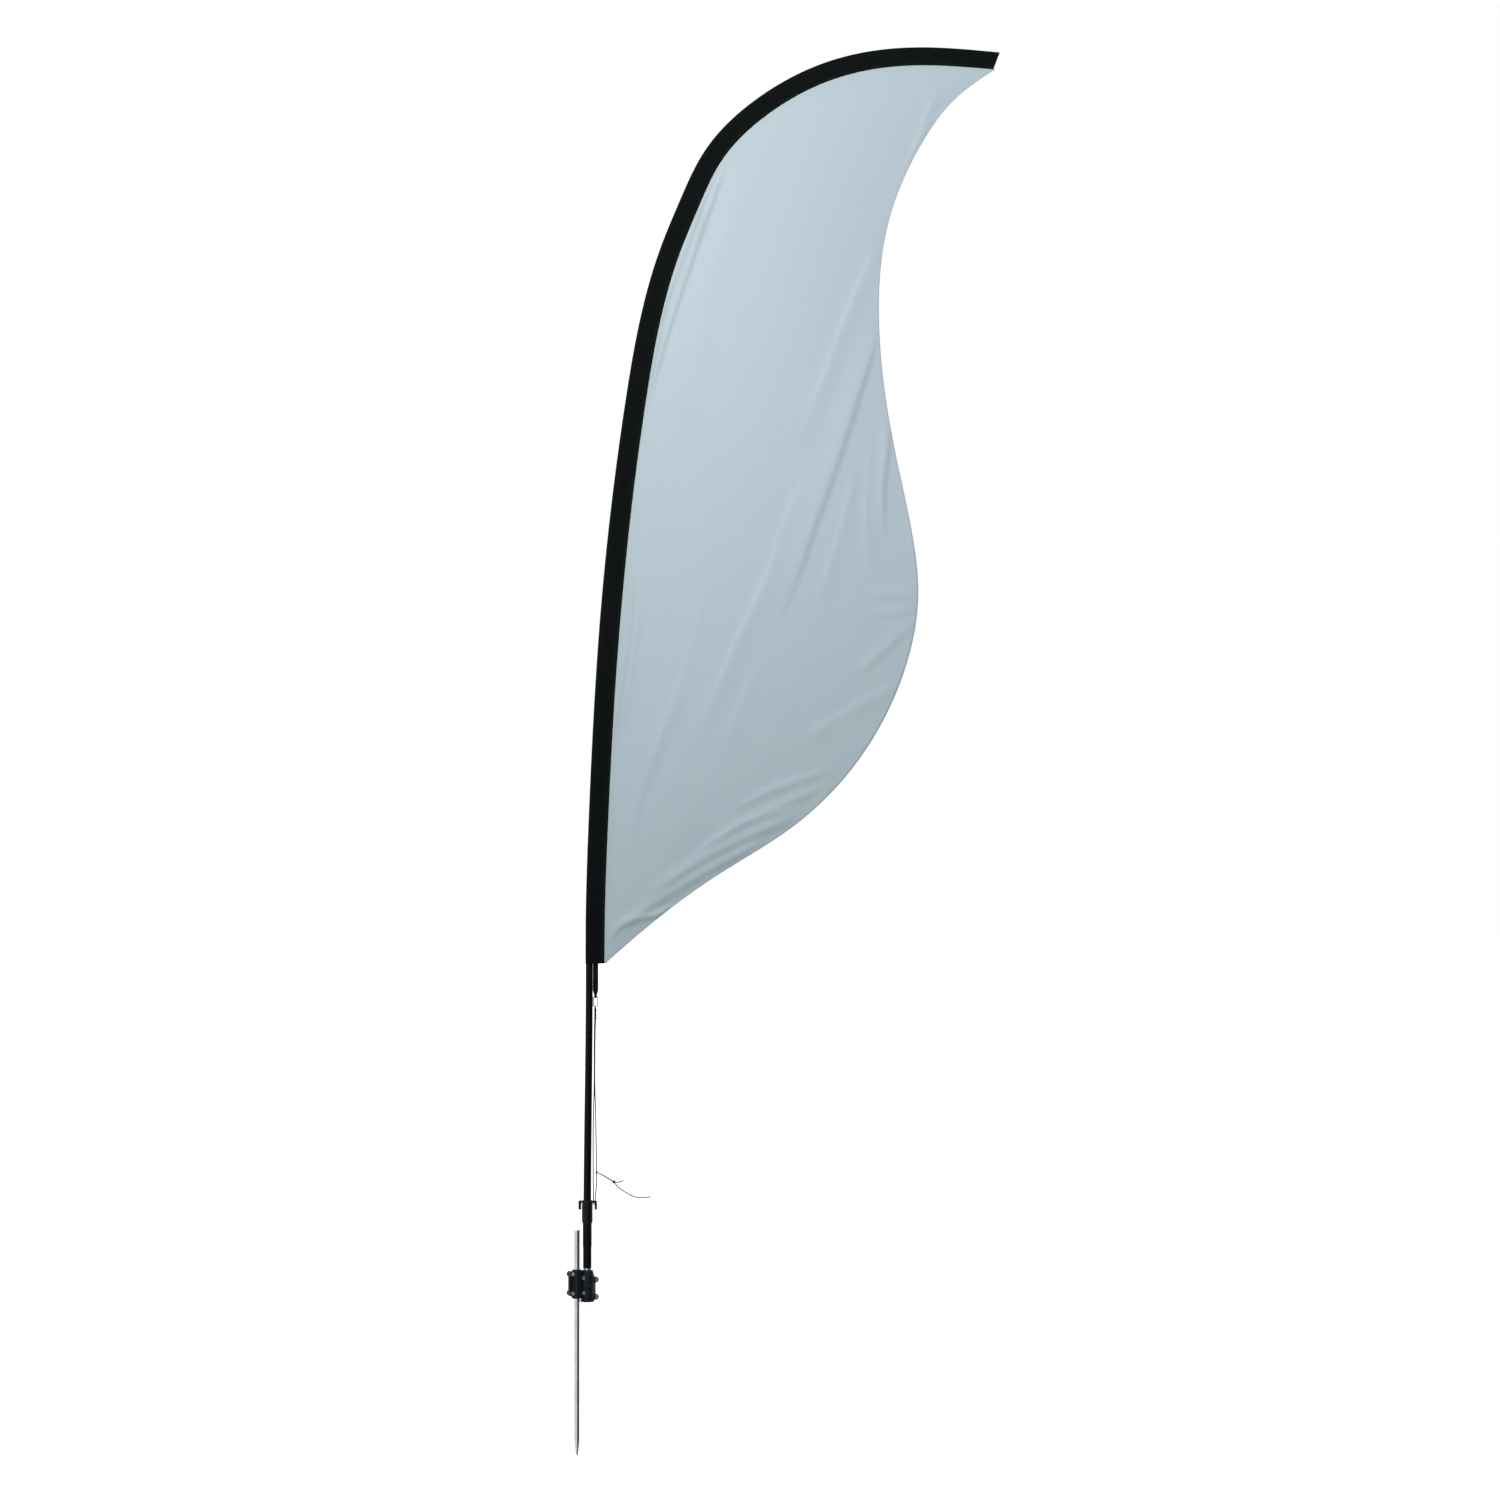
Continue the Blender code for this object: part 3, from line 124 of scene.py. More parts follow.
# ---- the sail's folds ------------------------------------------------------------------------------
# Height, width of the flank towards the light, width of the shaded flank, and the (x, z) route.
FOLDS = (
    (0.0036, 0.036, 0.0085, ((0.775, 2.540), (0.755, 2.485), (0.697, 2.305), (0.632, 2.105), (0.587, 1.980),
                            (0.545, 1.855), (0.507, 1.767), (0.480, 1.700))),
    (0.0026, 0.009, 0.034, ((0.600, 2.140), (0.557, 2.080), (0.482, 1.880), (0.420, 1.742),
                            (0.345, 1.567), (0.290, 1.435))),
    (0.0018, 0.010, 0.025, ((0.765, 2.720), (0.657, 2.467), (0.607, 2.330), (0.532, 2.167))),
    (0.0022, 0.007, 0.022, ((0.270, 1.642), (0.220, 1.492), (0.157, 1.342), (0.107, 1.205),
                            (0.075, 1.117))),
    (0.0046, 0.012, 0.0050, ((0.385, 2.940), (0.282, 2.642), (0.220, 2.455), (0.175, 2.280), (0.160, 2.200))),
    (0.0040, 0.009, 0.0046, ((0.345, 2.860), (0.270, 2.642), (0.207, 2.467), (0.185, 2.380))),
    (0.0026, 0.014, 0.045, ((0.440, 2.965), (0.352, 2.680), (0.275, 2.375), (0.235, 2.160))),
    (0.0024, 0.007, 0.016, ((0.157, 1.930), (0.137, 1.705), (0.120, 1.580), (0.100, 1.440))),
    (0.0032, 0.018, 0.0070, ((0.792, 2.330), (0.778, 2.200), (0.765, 2.105), (0.768, 1.950))),
    (0.0014, 0.009, 0.014, ((0.738, 2.210), (0.727, 2.105), (0.725, 1.955), (0.750, 1.830))),
    (0.0028, 0.011, 0.0060, ((0.806, 2.230), (0.825, 2.055), (0.843, 1.935), (0.852, 1.850))),
    (0.0014, 0.009, 0.014, ((0.702, 2.160), (0.665, 2.000), (0.632, 1.892), (0.590, 1.770))),
    (0.0012, 0.009, 0.015, ((0.875, 1.828), (0.787, 1.820), (0.712, 1.830))),
    (0.0013, 0.015, 0.008, ((0.875, 1.800), (0.795, 1.770), (0.720, 1.770))),
    (0.0018, 0.018, 0.007, ((0.872, 1.780), (0.807, 1.715), (0.737, 1.650), (0.680, 1.600))),
    (0.0014, 0.010, 0.026, ((0.855, 1.615), (0.727, 1.555), (0.632, 1.500), (0.530, 1.435))),
    (0.0020, 0.010, 0.014, ((0.645, 1.385), (0.532, 1.347), (0.457, 1.317), (0.375, 1.265))),
    (0.0022, 0.015, 0.011, ((0.630, 1.345), (0.507, 1.290), (0.395, 1.240), (0.315, 1.190))),
    (0.0018, 0.009, 0.014, ((0.580, 1.290), (0.470, 1.265), (0.345, 1.205), (0.260, 1.150))),
    (0.0034, 0.018, 0.013, ((0.585, 1.275), (0.445, 1.222), (0.332, 1.167), (0.227, 1.100),
                            (0.140, 1.030))),
    (0.0028, 0.015, 0.012, ((0.500, 1.215), (0.345, 1.140), (0.220, 1.065), (0.127, 1.000),
                            (0.078, 0.945))),
    (0.0030, 0.010, 0.008, ((0.310, 1.070), (0.195, 1.017), (0.107, 0.990), (0.070, 0.925))),
    (0.0012, 0.006, 0.016, ((0.165, 1.830), (0.125, 1.600), (0.085, 1.380))),
    (0.0012, 0.006, 0.016, ((0.225, 1.560), (0.160, 1.320), (0.100, 1.090))),
    (0.0009, 0.007, 0.020, ((0.345, 1.900), (0.275, 1.660), (0.215, 1.480))),
    (0.0009, 0.008, 0.024, ((0.480, 1.690), (0.415, 1.560), (0.350, 1.400))),
    (0.0013, 0.010, 0.014, ((0.915, 3.095), (0.880, 3.030), (0.855, 2.950), (0.800, 2.850))),
)

# ---- stage -----------------------------------------------------------------------------------------
CAMERA_AIM = (0.43225, 1.4300)              # (x, z)
CAMERA_SENSOR = 36.0
FLOOR_REACH = 40.0
LAMP_COLOUR = (1.0, 0.955, 0.99)
# Name, place, the point it is turned to, width, and share of the key power.
LAMPS = (
    ("key light", (-0.50, -2.55, 3.30), (0.45, 0.0, 2.25), 0.7, 1.0),
    ("side fill", (2.90, -2.30, 2.60), (0.75, 0.0, 2.00), 1.2, 0.17),
    ("back light", (-0.60, 2.55, 3.30), (0.45, 0.0, 2.25), 0.7, 1.0),
)
SKY = ((0.0, (0.275, 0.320, 0.318)), (0.5, (0.345, 0.398, 0.396)), (1.0, (0.43, 0.480, 0.476)))
DARK_SIDE = (0.80, -0.60, 0.0)              # where the surroundings are dark in reflections
LIGHT_SIDE = np.array((-0.6, 0.8))          # across the flag, towards the key light

# ---- the cords' routes -----------------------------------------------------------------------------
CORD_FRONT = ((0.0462, 0.0122, 0.7582), (0.0447, 0.0120, 0.7050), (0.0443, 0.0116, 0.6500),
              (0.0443, 0.0116, 0.5900), (0.0461, 0.0124, 0.5325), (0.0472, 0.0134, 0.4600),
              (0.0482, 0.0144, 0.4150), (0.0489, 0.0150, 0.3771))
CORD_REAR = ((0.0440, 0.0152, 0.7582), (0.0431, 0.0160, 0.7050), (0.0429, 0.0168, 0.6500),
             (0.0424, 0.0180, 0.5800), (0.0406, 0.0205, 0.5175), (0.0398, 0.0225, 0.4600),
             (0.0399, 0.0245, 0.3900), (0.0401, 0.0256, 0.3400), (0.04025, 0.0260, 0.3080),
             (0.04025, 0.0260, 0.2981), (0.04095, 0.0246, 0.29415), (0.04262, 0.0209, 0.2925),
             (0.04430, 0.0172, 0.29415), (0.0450, 0.0158, 0.2981), (0.0452, 0.0157, 0.3080),
             (0.0476, 0.0154, 0.3325), (0.0486, 0.0151, 0.3550), (0.0490, 0.0150, 0.3705))
TAIL_LONG = ((0.0522, 0.0147, 0.3722), (0.0640, 0.0132, 0.3672), (0.0780, 0.0104, 0.3585),
             (0.0893, 0.0083, 0.3519))
TAIL_SHORT = ((0.0520, 0.0113, 0.3725), (0.0638, 0.0100, 0.3680), (0.0778, 0.0072, 0.3596),
              (0.0893, 0.0054, 0.3533))
TAIL_END_LONG = ((0.0940, 0.0078, 0.3478), (0.1010, 0.0075, 0.3395), (0.1148, 0.0070, 0.3290),
                 (0.1352, 0.0055, 0.3172), (0.1582, 0.0025, 0.3118), (0.1710, 0.0005, 0.3120),
                 (0.1855, -0.0015, 0.3142))
TAIL_END_SHORT = ((0.0955, 0.0077, 0.3503), (0.1020, 0.0072, 0.3500), (0.1095, 0.0062, 0.3515),
                  (0.1165, 0.0050, 0.3548))
KNOT_CENTRE = (0.0490, 0.0150, 0.3738)
TAIL_KNOT_CENTRE = (0.0922, 0.0080, 0.3505)
HITCH_BOTTOM = 0.7568
HITCH_X = 0.0455
CORD_STEP = 0.0016
KNOT_SIDES = 14
KNOT_SIZE = 0.00098


# ---- settings --------------------------------------------------------------------------------------
class SailSettings(bpy.types.PropertyGroup):
    """The pale cloth."""
    thickness: FloatProperty(name="Cloth thickness", description="Thickness of the sail's knitted cloth",
                             default=0.0006, min=0.0002, max=0.002, unit="LENGTH")
    belly: FloatProperty(name="Belly", description="How far the sail fills towards the front",
                         default=0.0330, min=0.0, max=0.06, unit="LENGTH")
    curl: FloatProperty(name="Curl", description="How far the trailing edge turns to the back",
                        default=0.0120, min=0.0, max=0.04, unit="LENGTH")
    fold_height: FloatProperty(name="Fold height", description="Share of each fold's listed height",
                               default=1.8, min=0.0, max=2.0, subtype="FACTOR")
    columns: IntProperty(name="Columns", description="Points across the sail", default=131, min=20, max=140)
    rows: IntProperty(name="Rows", description="Points down the sail", default=345, min=60, max=350)
    colour: FloatVectorProperty(name="Colour", description="Colour of the sail's cloth", subtype="COLOR",
                                size=3, default=(0.545, 0.628, 0.690), min=0.0, max=1.0)


class SleeveSettings(bpy.types.PropertyGroup):
    """The dark sleeve, its seam, its strap and its ring."""
    pucker: FloatProperty(name="Pucker", description="Height of the small wrinkles beside the seam",
                          default=0.0006, min=0.0, max=0.002, unit="LENGTH")
    stitch_pitch: FloatProperty(name="Stitch pitch", description="Distance between two stitches",
                                default=0.0032, min=0.002, max=0.01, unit="LENGTH")
    colour: FloatVectorProperty(name="Colour", description="Colour of the sleeve's cloth", subtype="COLOR",
                                size=3, default=(0.0026, 0.0036, 0.0038), min=0.0, max=1.0)
    ring_wire: FloatProperty(name="Ring wire", description="Diameter of the ring's wire", default=0.0028,
                             min=0.001, max=0.004, unit="LENGTH")


class CordSettings(bpy.types.PropertyGroup):
    """The elastic cord."""
    diameter: FloatProperty(name="Diameter", description="Diameter of the elastic cord", default=0.0025,
                            min=0.001, max=0.004, unit="LENGTH")
    sides: IntProperty(name="Sides", description="Points round the cord", default=16, min=8, max=32)
    colour: FloatVectorProperty(name="Colour", description="Colour of the cord's braid", subtype="COLOR",
                                size=3, default=(0.0060, 0.0050, 0.0050), min=0.0, max=1.0)


class PoleSettings(bpy.types.PropertyGroup):
    """The tapered pole and the tube that it stands in."""
    sides: IntProperty(name="Sides", description="Points round the pole", default=40, min=12, max=64)
    colour: FloatVectorProperty(name="Colour", description="Colour of the pole's resin", subtype="COLOR",
                                size=3, default=(0.0022, 0.0030, 0.0024), min=0.0, max=1.0)


class ClampSettings(bpy.types.PropertyGroup):
    """The moulded clamp and the steel in it."""
    colour: FloatVectorProperty(name="Colour", description="Colour of the moulded shells", subtype="COLOR",
                                size=3, default=(0.0060, 0.0095, 0.0150), min=0.0, max=1.0)


class StageSettings(bpy.types.PropertyGroup):
    """Camera, lights and floor."""
    camera_distance: FloatProperty(name="Camera distance", description="Camera to the flag's plane",
                                   default=14.0625, min=2.0, max=50.0, unit="LENGTH")
    lens: FloatProperty(name="Lens", description="Focal length in millimetres", default=135.0, min=20.0,
                        max=300.0)
    key_power: FloatProperty(name="Key power", description="Power of the large light near the sail's top",
                             default=47.0, min=0.0, max=500.0, unit="POWER")
    floor_drop: FloatProperty(name="Floor drop", description="Floor below the stake's point",
                              default=0.0030, min=0.0, max=0.1, unit="LENGTH")


# ---- curves ----------------------------------------------------------------------------------------
def natural_spline(points, samples):
    """A line through its points with no bend at its ends.

    Between two points the line is the straight mix of both, plus each point's second derivative times
    the cube of its share less the share, times the span squared over six.
    """
    points = np.asarray(points, dtype=float)
    steps = np.linalg.norm(np.diff(points, axis=0), axis=1)
    knots = np.concatenate(([0.0], np.cumsum(steps)))
    count = len(points)
    inner = np.arange(1, count - 1)
    matrix = np.eye(count)
    matrix[inner, inner - 1] = steps[:-1]
    matrix[inner, inner] = 2.0 * (steps[:-1] + steps[1:])
    matrix[inner, inner + 1] = steps[1:]
    right = np.zeros_like(points)
    slopes = np.diff(points, axis=0) / steps[:, None]
    right[inner] = 6.0 * np.diff(slopes, axis=0)
    bend = np.linalg.solve(matrix, right)
    where = np.linspace(0.0, knots[-1], samples)
    span = np.clip(np.searchsorted(knots, where, side="right") - 1, 0, count - 2)
    width = steps[span][:, None]
    before = (knots[span + 1] - where)[:, None] / width
    after = 1.0 - before
    curve = (before ** 3 - before) * bend[span] + (after ** 3 - after) * bend[span + 1]
    return before * points[span] + after * points[span + 1] + curve * width ** 2 / 6.0


def lengths_along(line):
    """Distance from a line's start to each of its points."""
    return np.concatenate(([0.0], np.cumsum(np.linalg.norm(np.diff(line, axis=0), axis=1))))


def round_lengths(line, last=None):
    """Distance from a closed line's start to each of its points, and back to its start."""
    along = lengths_along(line)
    return np.append(along, along[-1] + (np.linalg.norm(line[0] - line[-1]) if last is None else last))


def sample(line, distances):
    """The line's points at the given distances from its start."""
    along = lengths_along(line)
    return np.stack([np.interp(distances, along, line[:, axis]) for axis in range(line.shape[1])], axis=1)


def smooth(share):
    """Eases a share from 0 to 1: three times its square less twice its cube."""
    share = np.clip(share, 0.0, 1.0)
    return share * share * (3.0 - 2.0 * share)


def unit(vectors):
    """The same vectors with length 1."""
    return vectors / np.maximum(np.linalg.norm(vectors, axis=-1, keepdims=True), 1e-12)


def in_flag_plane(shares):
    """Shares of the pole's reach and rise as (x, z)."""
    shares = np.asarray(shares, dtype=float)
    return np.stack([SPINDLE_X + shares[:, 0] * POLE_REACH, POLE_FOOT + shares[:, 1] * POLE_RISE], axis=1)


POLE_LINE = natural_spline(in_flag_plane(POLE_BEND), 4000)
POLE_LENGTH = float(lengths_along(POLE_LINE)[-1])
CLIMB = POLE_LINE[:int(np.argmax(POLE_LINE[:, 1]))]
SLEEVE_START = float(np.interp(SLEEVE_FOOT, CLIMB[:, 1], lengths_along(CLIMB)))


def pole_radius(distance):
    """The pole's even taper from foot to tip."""
    return POLE_FOOT_RADIUS + (POLE_TIP_RADIUS - POLE_FOOT_RADIUS) * distance / POLE_LENGTH


def pole_frame(distance):
    """Centre, inward normal and direction, each (x, z), at distances along the pole's line."""
    reach = 0.002
    behind = sample(POLE_LINE, np.maximum(distance - reach, 0.0))
    ahead = sample(POLE_LINE, np.minimum(distance + reach, POLE_LENGTH))
    along = unit(ahead - behind)
    normal = np.stack([along[:, 1], -along[:, 0]], axis=1)
    return sample(POLE_LINE, distance), normal, along


def sleeve_width(distance):
    """The sleeve's flat width, eased between its named widths."""
    share = (distance - SLEEVE_START) / (POLE_LENGTH - SLEEVE_START)
    return np.interp(share, np.linspace(0.0, 1.0, len(SLEEVE_WIDTHS)), SLEEVE_WIDTHS)


def seam_inset(distance):
    """How far inward of the pole's centre the sleeve ends and the sail begins."""
    return sleeve_width(distance) - pole_radius(distance) - GAP - SLEEVE_CLOTH


# ---- surfaces --------------------------------------------------------------------------------------
def link_mesh(name, points, faces, loop_uv, material, body):
    """Puts worked-out points, faces and UVs in a mesh that rides on a body."""
    data = bpy.data.meshes.new(name)
    data.from_pydata(points.tolist(), [], faces)
    if loop_uv is not None:
        layer = data.uv_layers.new(name="UVMap")
        layer.data.foreach_set("uv", loop_uv.astype(np.float32).ravel())
    data.materials.append(material)
    data.validate()
    data.update()
    piece = link_object(name, data)
    data.shade_smooth()
    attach(piece, body)
    return piece


def grid_faces(rows, columns, around, closed):
    """Quads between neighbouring points of a grid, as point numbers and as (row, column) corners."""
    wide = columns if around else columns - 1
    tall = rows if closed else rows - 1
    row, column = np.meshgrid(np.arange(tall), np.arange(wide), indexing="ij")
    corner_row = np.stack([row, row, row + 1, row + 1], axis=-1).reshape(-1, 4)
    corner_column = np.stack([column, column + 1, column + 1, column], axis=-1).reshape(-1, 4)
    numbers = (corner_row % rows) * columns + corner_column % columns
    return numbers, corner_row, corner_column


def surface(name, grid, across, along, material, body, around=False, closed=False, caps=False):
    """A mesh of a grid of points [row, column]; across and along are its UV lengths in metres.

    around joins the last column to the first, closed joins the last row to the first, and caps fills
    the first and last rows.
    """
    rows, columns = grid.shape[:2]
    numbers, corner_row, corner_column = grid_faces(rows, columns, around, closed)
    uv = np.stack([across[corner_column], along[corner_row]], axis=-1).reshape(-1, 2)
    faces = numbers.tolist()
    if caps:
        ring = np.arange(columns)
        faces += [ring[::-1].tolist(), (ring + (rows - 1) * columns).tolist()]
        rim = np.stack([across[:columns], np.zeros(columns)], axis=1)
        uv = np.concatenate([uv, rim, rim])
    return link_mesh(name, grid.reshape(-1, 3), faces, uv, material, body)


def mesh_points(data):
    """All points of a mesh as rows of x, y, z."""
    points = np.empty(len(data.vertices) * 3)
    data.vertices.foreach_get("co", points)
    return points.reshape(-1, 3)


def face_out(piece):
    """Turns the faces of a closed mesh outwards if its signed volume is negative."""
    data = piece.data
    data.calc_loop_triangles()
    points = mesh_points(data)
    corners = np.empty(len(data.loop_triangles) * 3, dtype=np.int32)
    data.loop_triangles.foreach_get("vertices", corners)
    a, b, c = points[corners.reshape(-1, 3)].transpose(1, 0, 2)
    if (a * np.cross(b, c)).sum() < 0.0:
        data.flip_normals()
    return piece


def tube(name, line, radius, sides, material, body, slot, closed=False, twist=(0.0, 1.0, 0.0),
         flat=False):
    """A round tube along a line: at each point, radius times cos and sin of an angle in its own plane.

    On an open line the plane is set by a fixed vector, and its ends are rounded by four rings that
    shrink as a circle does. On a closed line the plane is set by the line's own bend, or by the fixed
    vector where the line is flat.
    """
    if closed:
        ahead, behind = np.roll(line, -1, axis=0), np.roll(line, 1, axis=0)
        along = unit(ahead - behind)
        bend = ahead + behind - 2.0 * line
        side = unit(np.cross(along, np.asarray(twist)) if flat
                    else bend - (bend * along).sum(axis=1, keepdims=True) * along)
        radii = np.full(len(line), radius)
    else:
        along = unit(np.gradient(line, axis=0))
        turn = np.linspace(0.0, math.pi / 2.0, 5)
        grow = np.maximum(np.sin(turn), 0.12) * radius
        start = line[0] + along[0] * (radius * (1.0 - np.cos(turn)))[:-1, None]
        finish = (line[-1] - along[-1] * (radius * (1.0 - np.cos(turn)))[:-1, None])[::-1]
        keep = (lengths_along(line) > radius) & (lengths_along(line) < lengths_along(line)[-1] - radius)
        body_line = line[keep]
        radii = np.concatenate([grow[:-1], np.full(len(body_line), radius), grow[:-1][::-1]])
        along = np.concatenate([np.repeat(along[:1], 4, axis=0), along[keep],
                                np.repeat(along[-1:], 4, axis=0)])
        line = np.concatenate([start, body_line, finish])
        side = unit(np.cross(along, np.asarray(twist)))
    other = np.cross(along, side)
    angles = np.linspace(0.0, math.tau, sides, endpoint=False)
    ring = (side[:, None, :] * np.cos(angles)[None, :, None]
            + other[:, None, :] * np.sin(angles)[None, :, None])
    grid = line[:, None, :] + ring * radii[:, None, None]
    across_uv = np.linspace(0.0, math.tau * radius, sides + 1)
    piece = surface(name, grid, across_uv, round_lengths(line), material, body, around=True,
                    closed=closed, caps=not closed)
    return face_out(piece), line


def turned(name, profile, segments, material, body, place=(0.0, 0.0, 0.0)):
    """A turned piece: each (radius, height) of its profile carried round the upright axis at place."""
    profile = np.asarray(profile, dtype=float)
    angles = np.linspace(0.0, math.tau, segments, endpoint=False)
    grid = np.stack([profile[:, :1] * np.cos(angles), profile[:, :1] * np.sin(angles),
                     np.repeat(profile[:, 1:], segments, axis=1)], axis=-1) + np.asarray(place)
    across = np.linspace(0.0, math.tau * profile[:, 0].max(), segments + 1)
    return face_out(surface(name, grid, across, lengths_along(profile), material, body, around=True,
                            caps=True))


# ---- materials -------------------------------------------------------------------------------------
def plug(tree, socket, value):
    """Links a socket to a node's output, or sets it to a constant."""
    if isinstance(value, bpy.types.NodeSocket):
        tree.links.new(value, socket)
    else:
        socket.default_value = value


def feed(tree, item, **inputs):
    """Sets or links a node's inputs by name, with _ for a space."""
    for label, value in inputs.items():
        plug(tree, item.inputs[label.replace("_", " ")], value)
    return item


def add_node(tree, kind, **inputs):
    """A new node with its inputs set or linked."""
    return feed(tree, tree.nodes.new(kind), **inputs)


def new_material(name, colour, roughness, **sockets):
    """A Principled material; returns it with its node tree and its shader."""
    made = bpy.data.materials.new(name)
    made.use_nodes = True
    tree = made.node_tree
    shader = feed(tree, tree.nodes["Principled BSDF"], Base_Color=(*colour, 1.0), Roughness=roughness,
                  **sockets)
    return made, tree, shader


def coordinates(tree, kind, scale=(1.0, 1.0, 1.0), turn=(0.0, 0.0, 0.0)):
    """Object or UV coordinates, in metres, times a scale."""
    source = tree.nodes.new("ShaderNodeTexCoord")
    mapping = add_node(tree, "ShaderNodeMapping", Vector=source.outputs[kind], Scale=scale, Rotation=turn)
    return mapping.outputs["Vector"]


def shade(colour, share, lift=0.0):
    """A colour made darker or paler: each value times a share, plus a lift."""
    return tuple(value * share + lift for value in colour)


def ramp(tree, factor, *stops):
    """A colour ramp of (place, grey or colour) stops."""
    item = add_node(tree, "ShaderNodeValToRGB", Fac=factor)
    elements = item.color_ramp.elements
    while len(elements) < len(stops):
        elements.new(0.5)
    for element, (place, colour) in zip(elements, stops):
        element.position = place
        element.color = (*(colour if isinstance(colour, tuple) else (colour,) * 3), 1.0)
    return item.outputs["Color"]


def mixed(tree, factor, first, second, blend="MIX"):
    """Two colours mixed by a factor."""
    item = tree.nodes.new("ShaderNodeMix")
    item.data_type = "RGBA"
    item.blend_type = blend
    plug(tree, item.inputs["Factor"], factor)
    for socket, value in ((item.inputs[6], first), (item.inputs[7], second)):
        plug(tree, socket, (*value, 1.0) if isinstance(value, tuple) else value)
    return item.outputs[2]


def math_node(tree, operation, *values):
    """One arithmetic step."""
    item = tree.nodes.new("ShaderNodeMath")
    item.operation = operation
    for socket, value in zip(item.inputs, values):
        plug(tree, socket, value)
    return item.outputs["Value"]


def noise(tree, vector, scale, detail=3.0, roughness=0.5):
    """Fractal noise as one number."""
    return add_node(tree, "ShaderNodeTexNoise", Vector=vector, Scale=scale, Detail=detail,
                    Roughness=roughness).outputs["Fac"]


WAVE_RATE = 20.0                            # radians that a wave texture turns for each unit of scale


def bands(tree, vector, pitch, direction="X", wobble=0.0):
    """Straight bands, one a pitch."""
    wave = add_node(tree, "ShaderNodeTexWave", Vector=vector, Scale=math.tau / pitch / WAVE_RATE,
                    Distortion=wobble)
    wave.bands_direction = direction
    return wave.outputs["Fac"]


def weave(tree, vector, pitch, across="X", along="Y", second_pitch=None):
    """Over-and-under threads: the greater of two crossed sets of bands."""
    return math_node(tree, "MAXIMUM", bands(tree, vector, pitch, across),
                     bands(tree, vector, second_pitch or pitch, along))


def raise_by(tree, shader, height, strength, distance):
    """Bump from a height."""
    bump = add_node(tree, "ShaderNodeBump", Height=height, Strength=strength, Distance=distance)
    feed(tree, shader, Normal=bump.outputs["Normal"])


def sail_material(name):
    """Pale blue-grey knitted cloth: fine wales, faint mottling, a warmer doubled hem by the sleeve."""
    colour = tuple(bpy.context.scene.flag_sail.colour)
    made, tree, shader = new_material(name, colour, 0.62, Sheen_Weight=0.12, Sheen_Roughness=0.45,
                                      Specular_IOR_Level=0.30)
    cloth = coordinates(tree, "UV")
    mottle = ramp(tree, noise(tree, cloth, 26.0, 4.0, 0.6), (0.30, 0.47), (0.70, 0.53))
    base = mixed(tree, 0.10, colour, mottle, "OVERLAY")
    split = add_node(tree, "ShaderNodeSeparateXYZ", Vector=cloth)
    hem = ramp(tree, split.outputs["X"], (0.0, 1.0), (0.010, 1.0), (0.022, 0.0))
    warm = mixed(tree, 1.0, base, (0.955, 1.0, 0.925), "MULTIPLY")
    threads = weave(tree, cloth, 0.0011)
    fine = mixed(tree, 0.05, mixed(tree, hem, base, warm), threads, "OVERLAY")
    soft = ramp(tree, noise(tree, cloth, 9.0, 2.0), (0.3, 0.58), (0.7, 0.68))
    feed(tree, shader, Base_Color=fine, Roughness=soft)
    raise_by(tree, shader, threads, 0.25, 0.0001)
    return made


def sleeve_material(name):
    """Black plain-woven cloth, a little dusty, with its threads along and across the sleeve."""
    colour = tuple(bpy.context.scene.flag_sleeve.colour)
    made, tree, shader = new_material(name, colour, 0.75, Specular_IOR_Level=0.06)
    cloth = coordinates(tree, "UV")
    threads = weave(tree, cloth, 0.0012)
    dust = ramp(tree, noise(tree, cloth, 30.0, 5.0, 0.65), (0.45, 0.0), (0.75, 0.35))
    clean = mixed(tree, threads, colour, shade(colour, 1.7))
    feed(tree, shader, Base_Color=mixed(tree, dust, clean, shade(colour, 2.4)))
    raise_by(tree, shader, threads, 0.4, 0.00015)
    return made


def webbing_material(name):
    """Black webbing: flat ribs crossed by picks."""
    made, tree, shader = new_material(name, (0.004, 0.004, 0.005), 0.8, Specular_IOR_Level=0.08)
    height = weave(tree, coordinates(tree, "Object"), 0.0014, "X", "Z", 0.0010)
    feed(tree, shader, Base_Color=mixed(tree, height, (0.0022, 0.0024, 0.0026), (0.0075, 0.0078, 0.0080)))
    raise_by(tree, shader, height, 0.6, 0.0002)
    return made


def braid_material(name):
    """Braided elastic: two sets of strands wound opposite ways, with a dusty fleck."""
    colour = tuple(bpy.context.scene.flag_cord.colour)
    made, tree, shader = new_material(name, colour, 0.7, Specular_IOR_Level=0.10)
    strands = [bands(tree, coordinates(tree, "UV", turn=(0.0, 0.0, lean * math.radians(38.0))), 0.0009)
               for lean in (1.0, -1.0)]
    height = math_node(tree, "MAXIMUM", *strands)
    clean = mixed(tree, height, shade(colour, 0.4), shade(colour, 1.8))
    fleck = ramp(tree, noise(tree, coordinates(tree, "UV"), 900.0, 1.0), (0.66, 0.0), (0.72, 0.5))
    feed(tree, shader, Base_Color=mixed(tree, fleck, clean, (0.030, 0.027, 0.026)))
    raise_by(tree, shader, height, 0.6, 0.0002)
    return made


def thread_material(name):
    """Twisted black sewing thread."""
    colour = (0.016, 0.016, 0.017)
    made, tree, shader = new_material(name, colour, 0.6, Sheen_Weight=0.2)
    ply = bands(tree, coordinates(tree, "Object", turn=(0.4, 0.5, 0.6)), 0.0005)
    feed(tree, shader, Base_Color=mixed(tree, ply, shade(colour, 0.6), colour))
    raise_by(tree, shader, ply, 0.4, 0.0001)
    return made


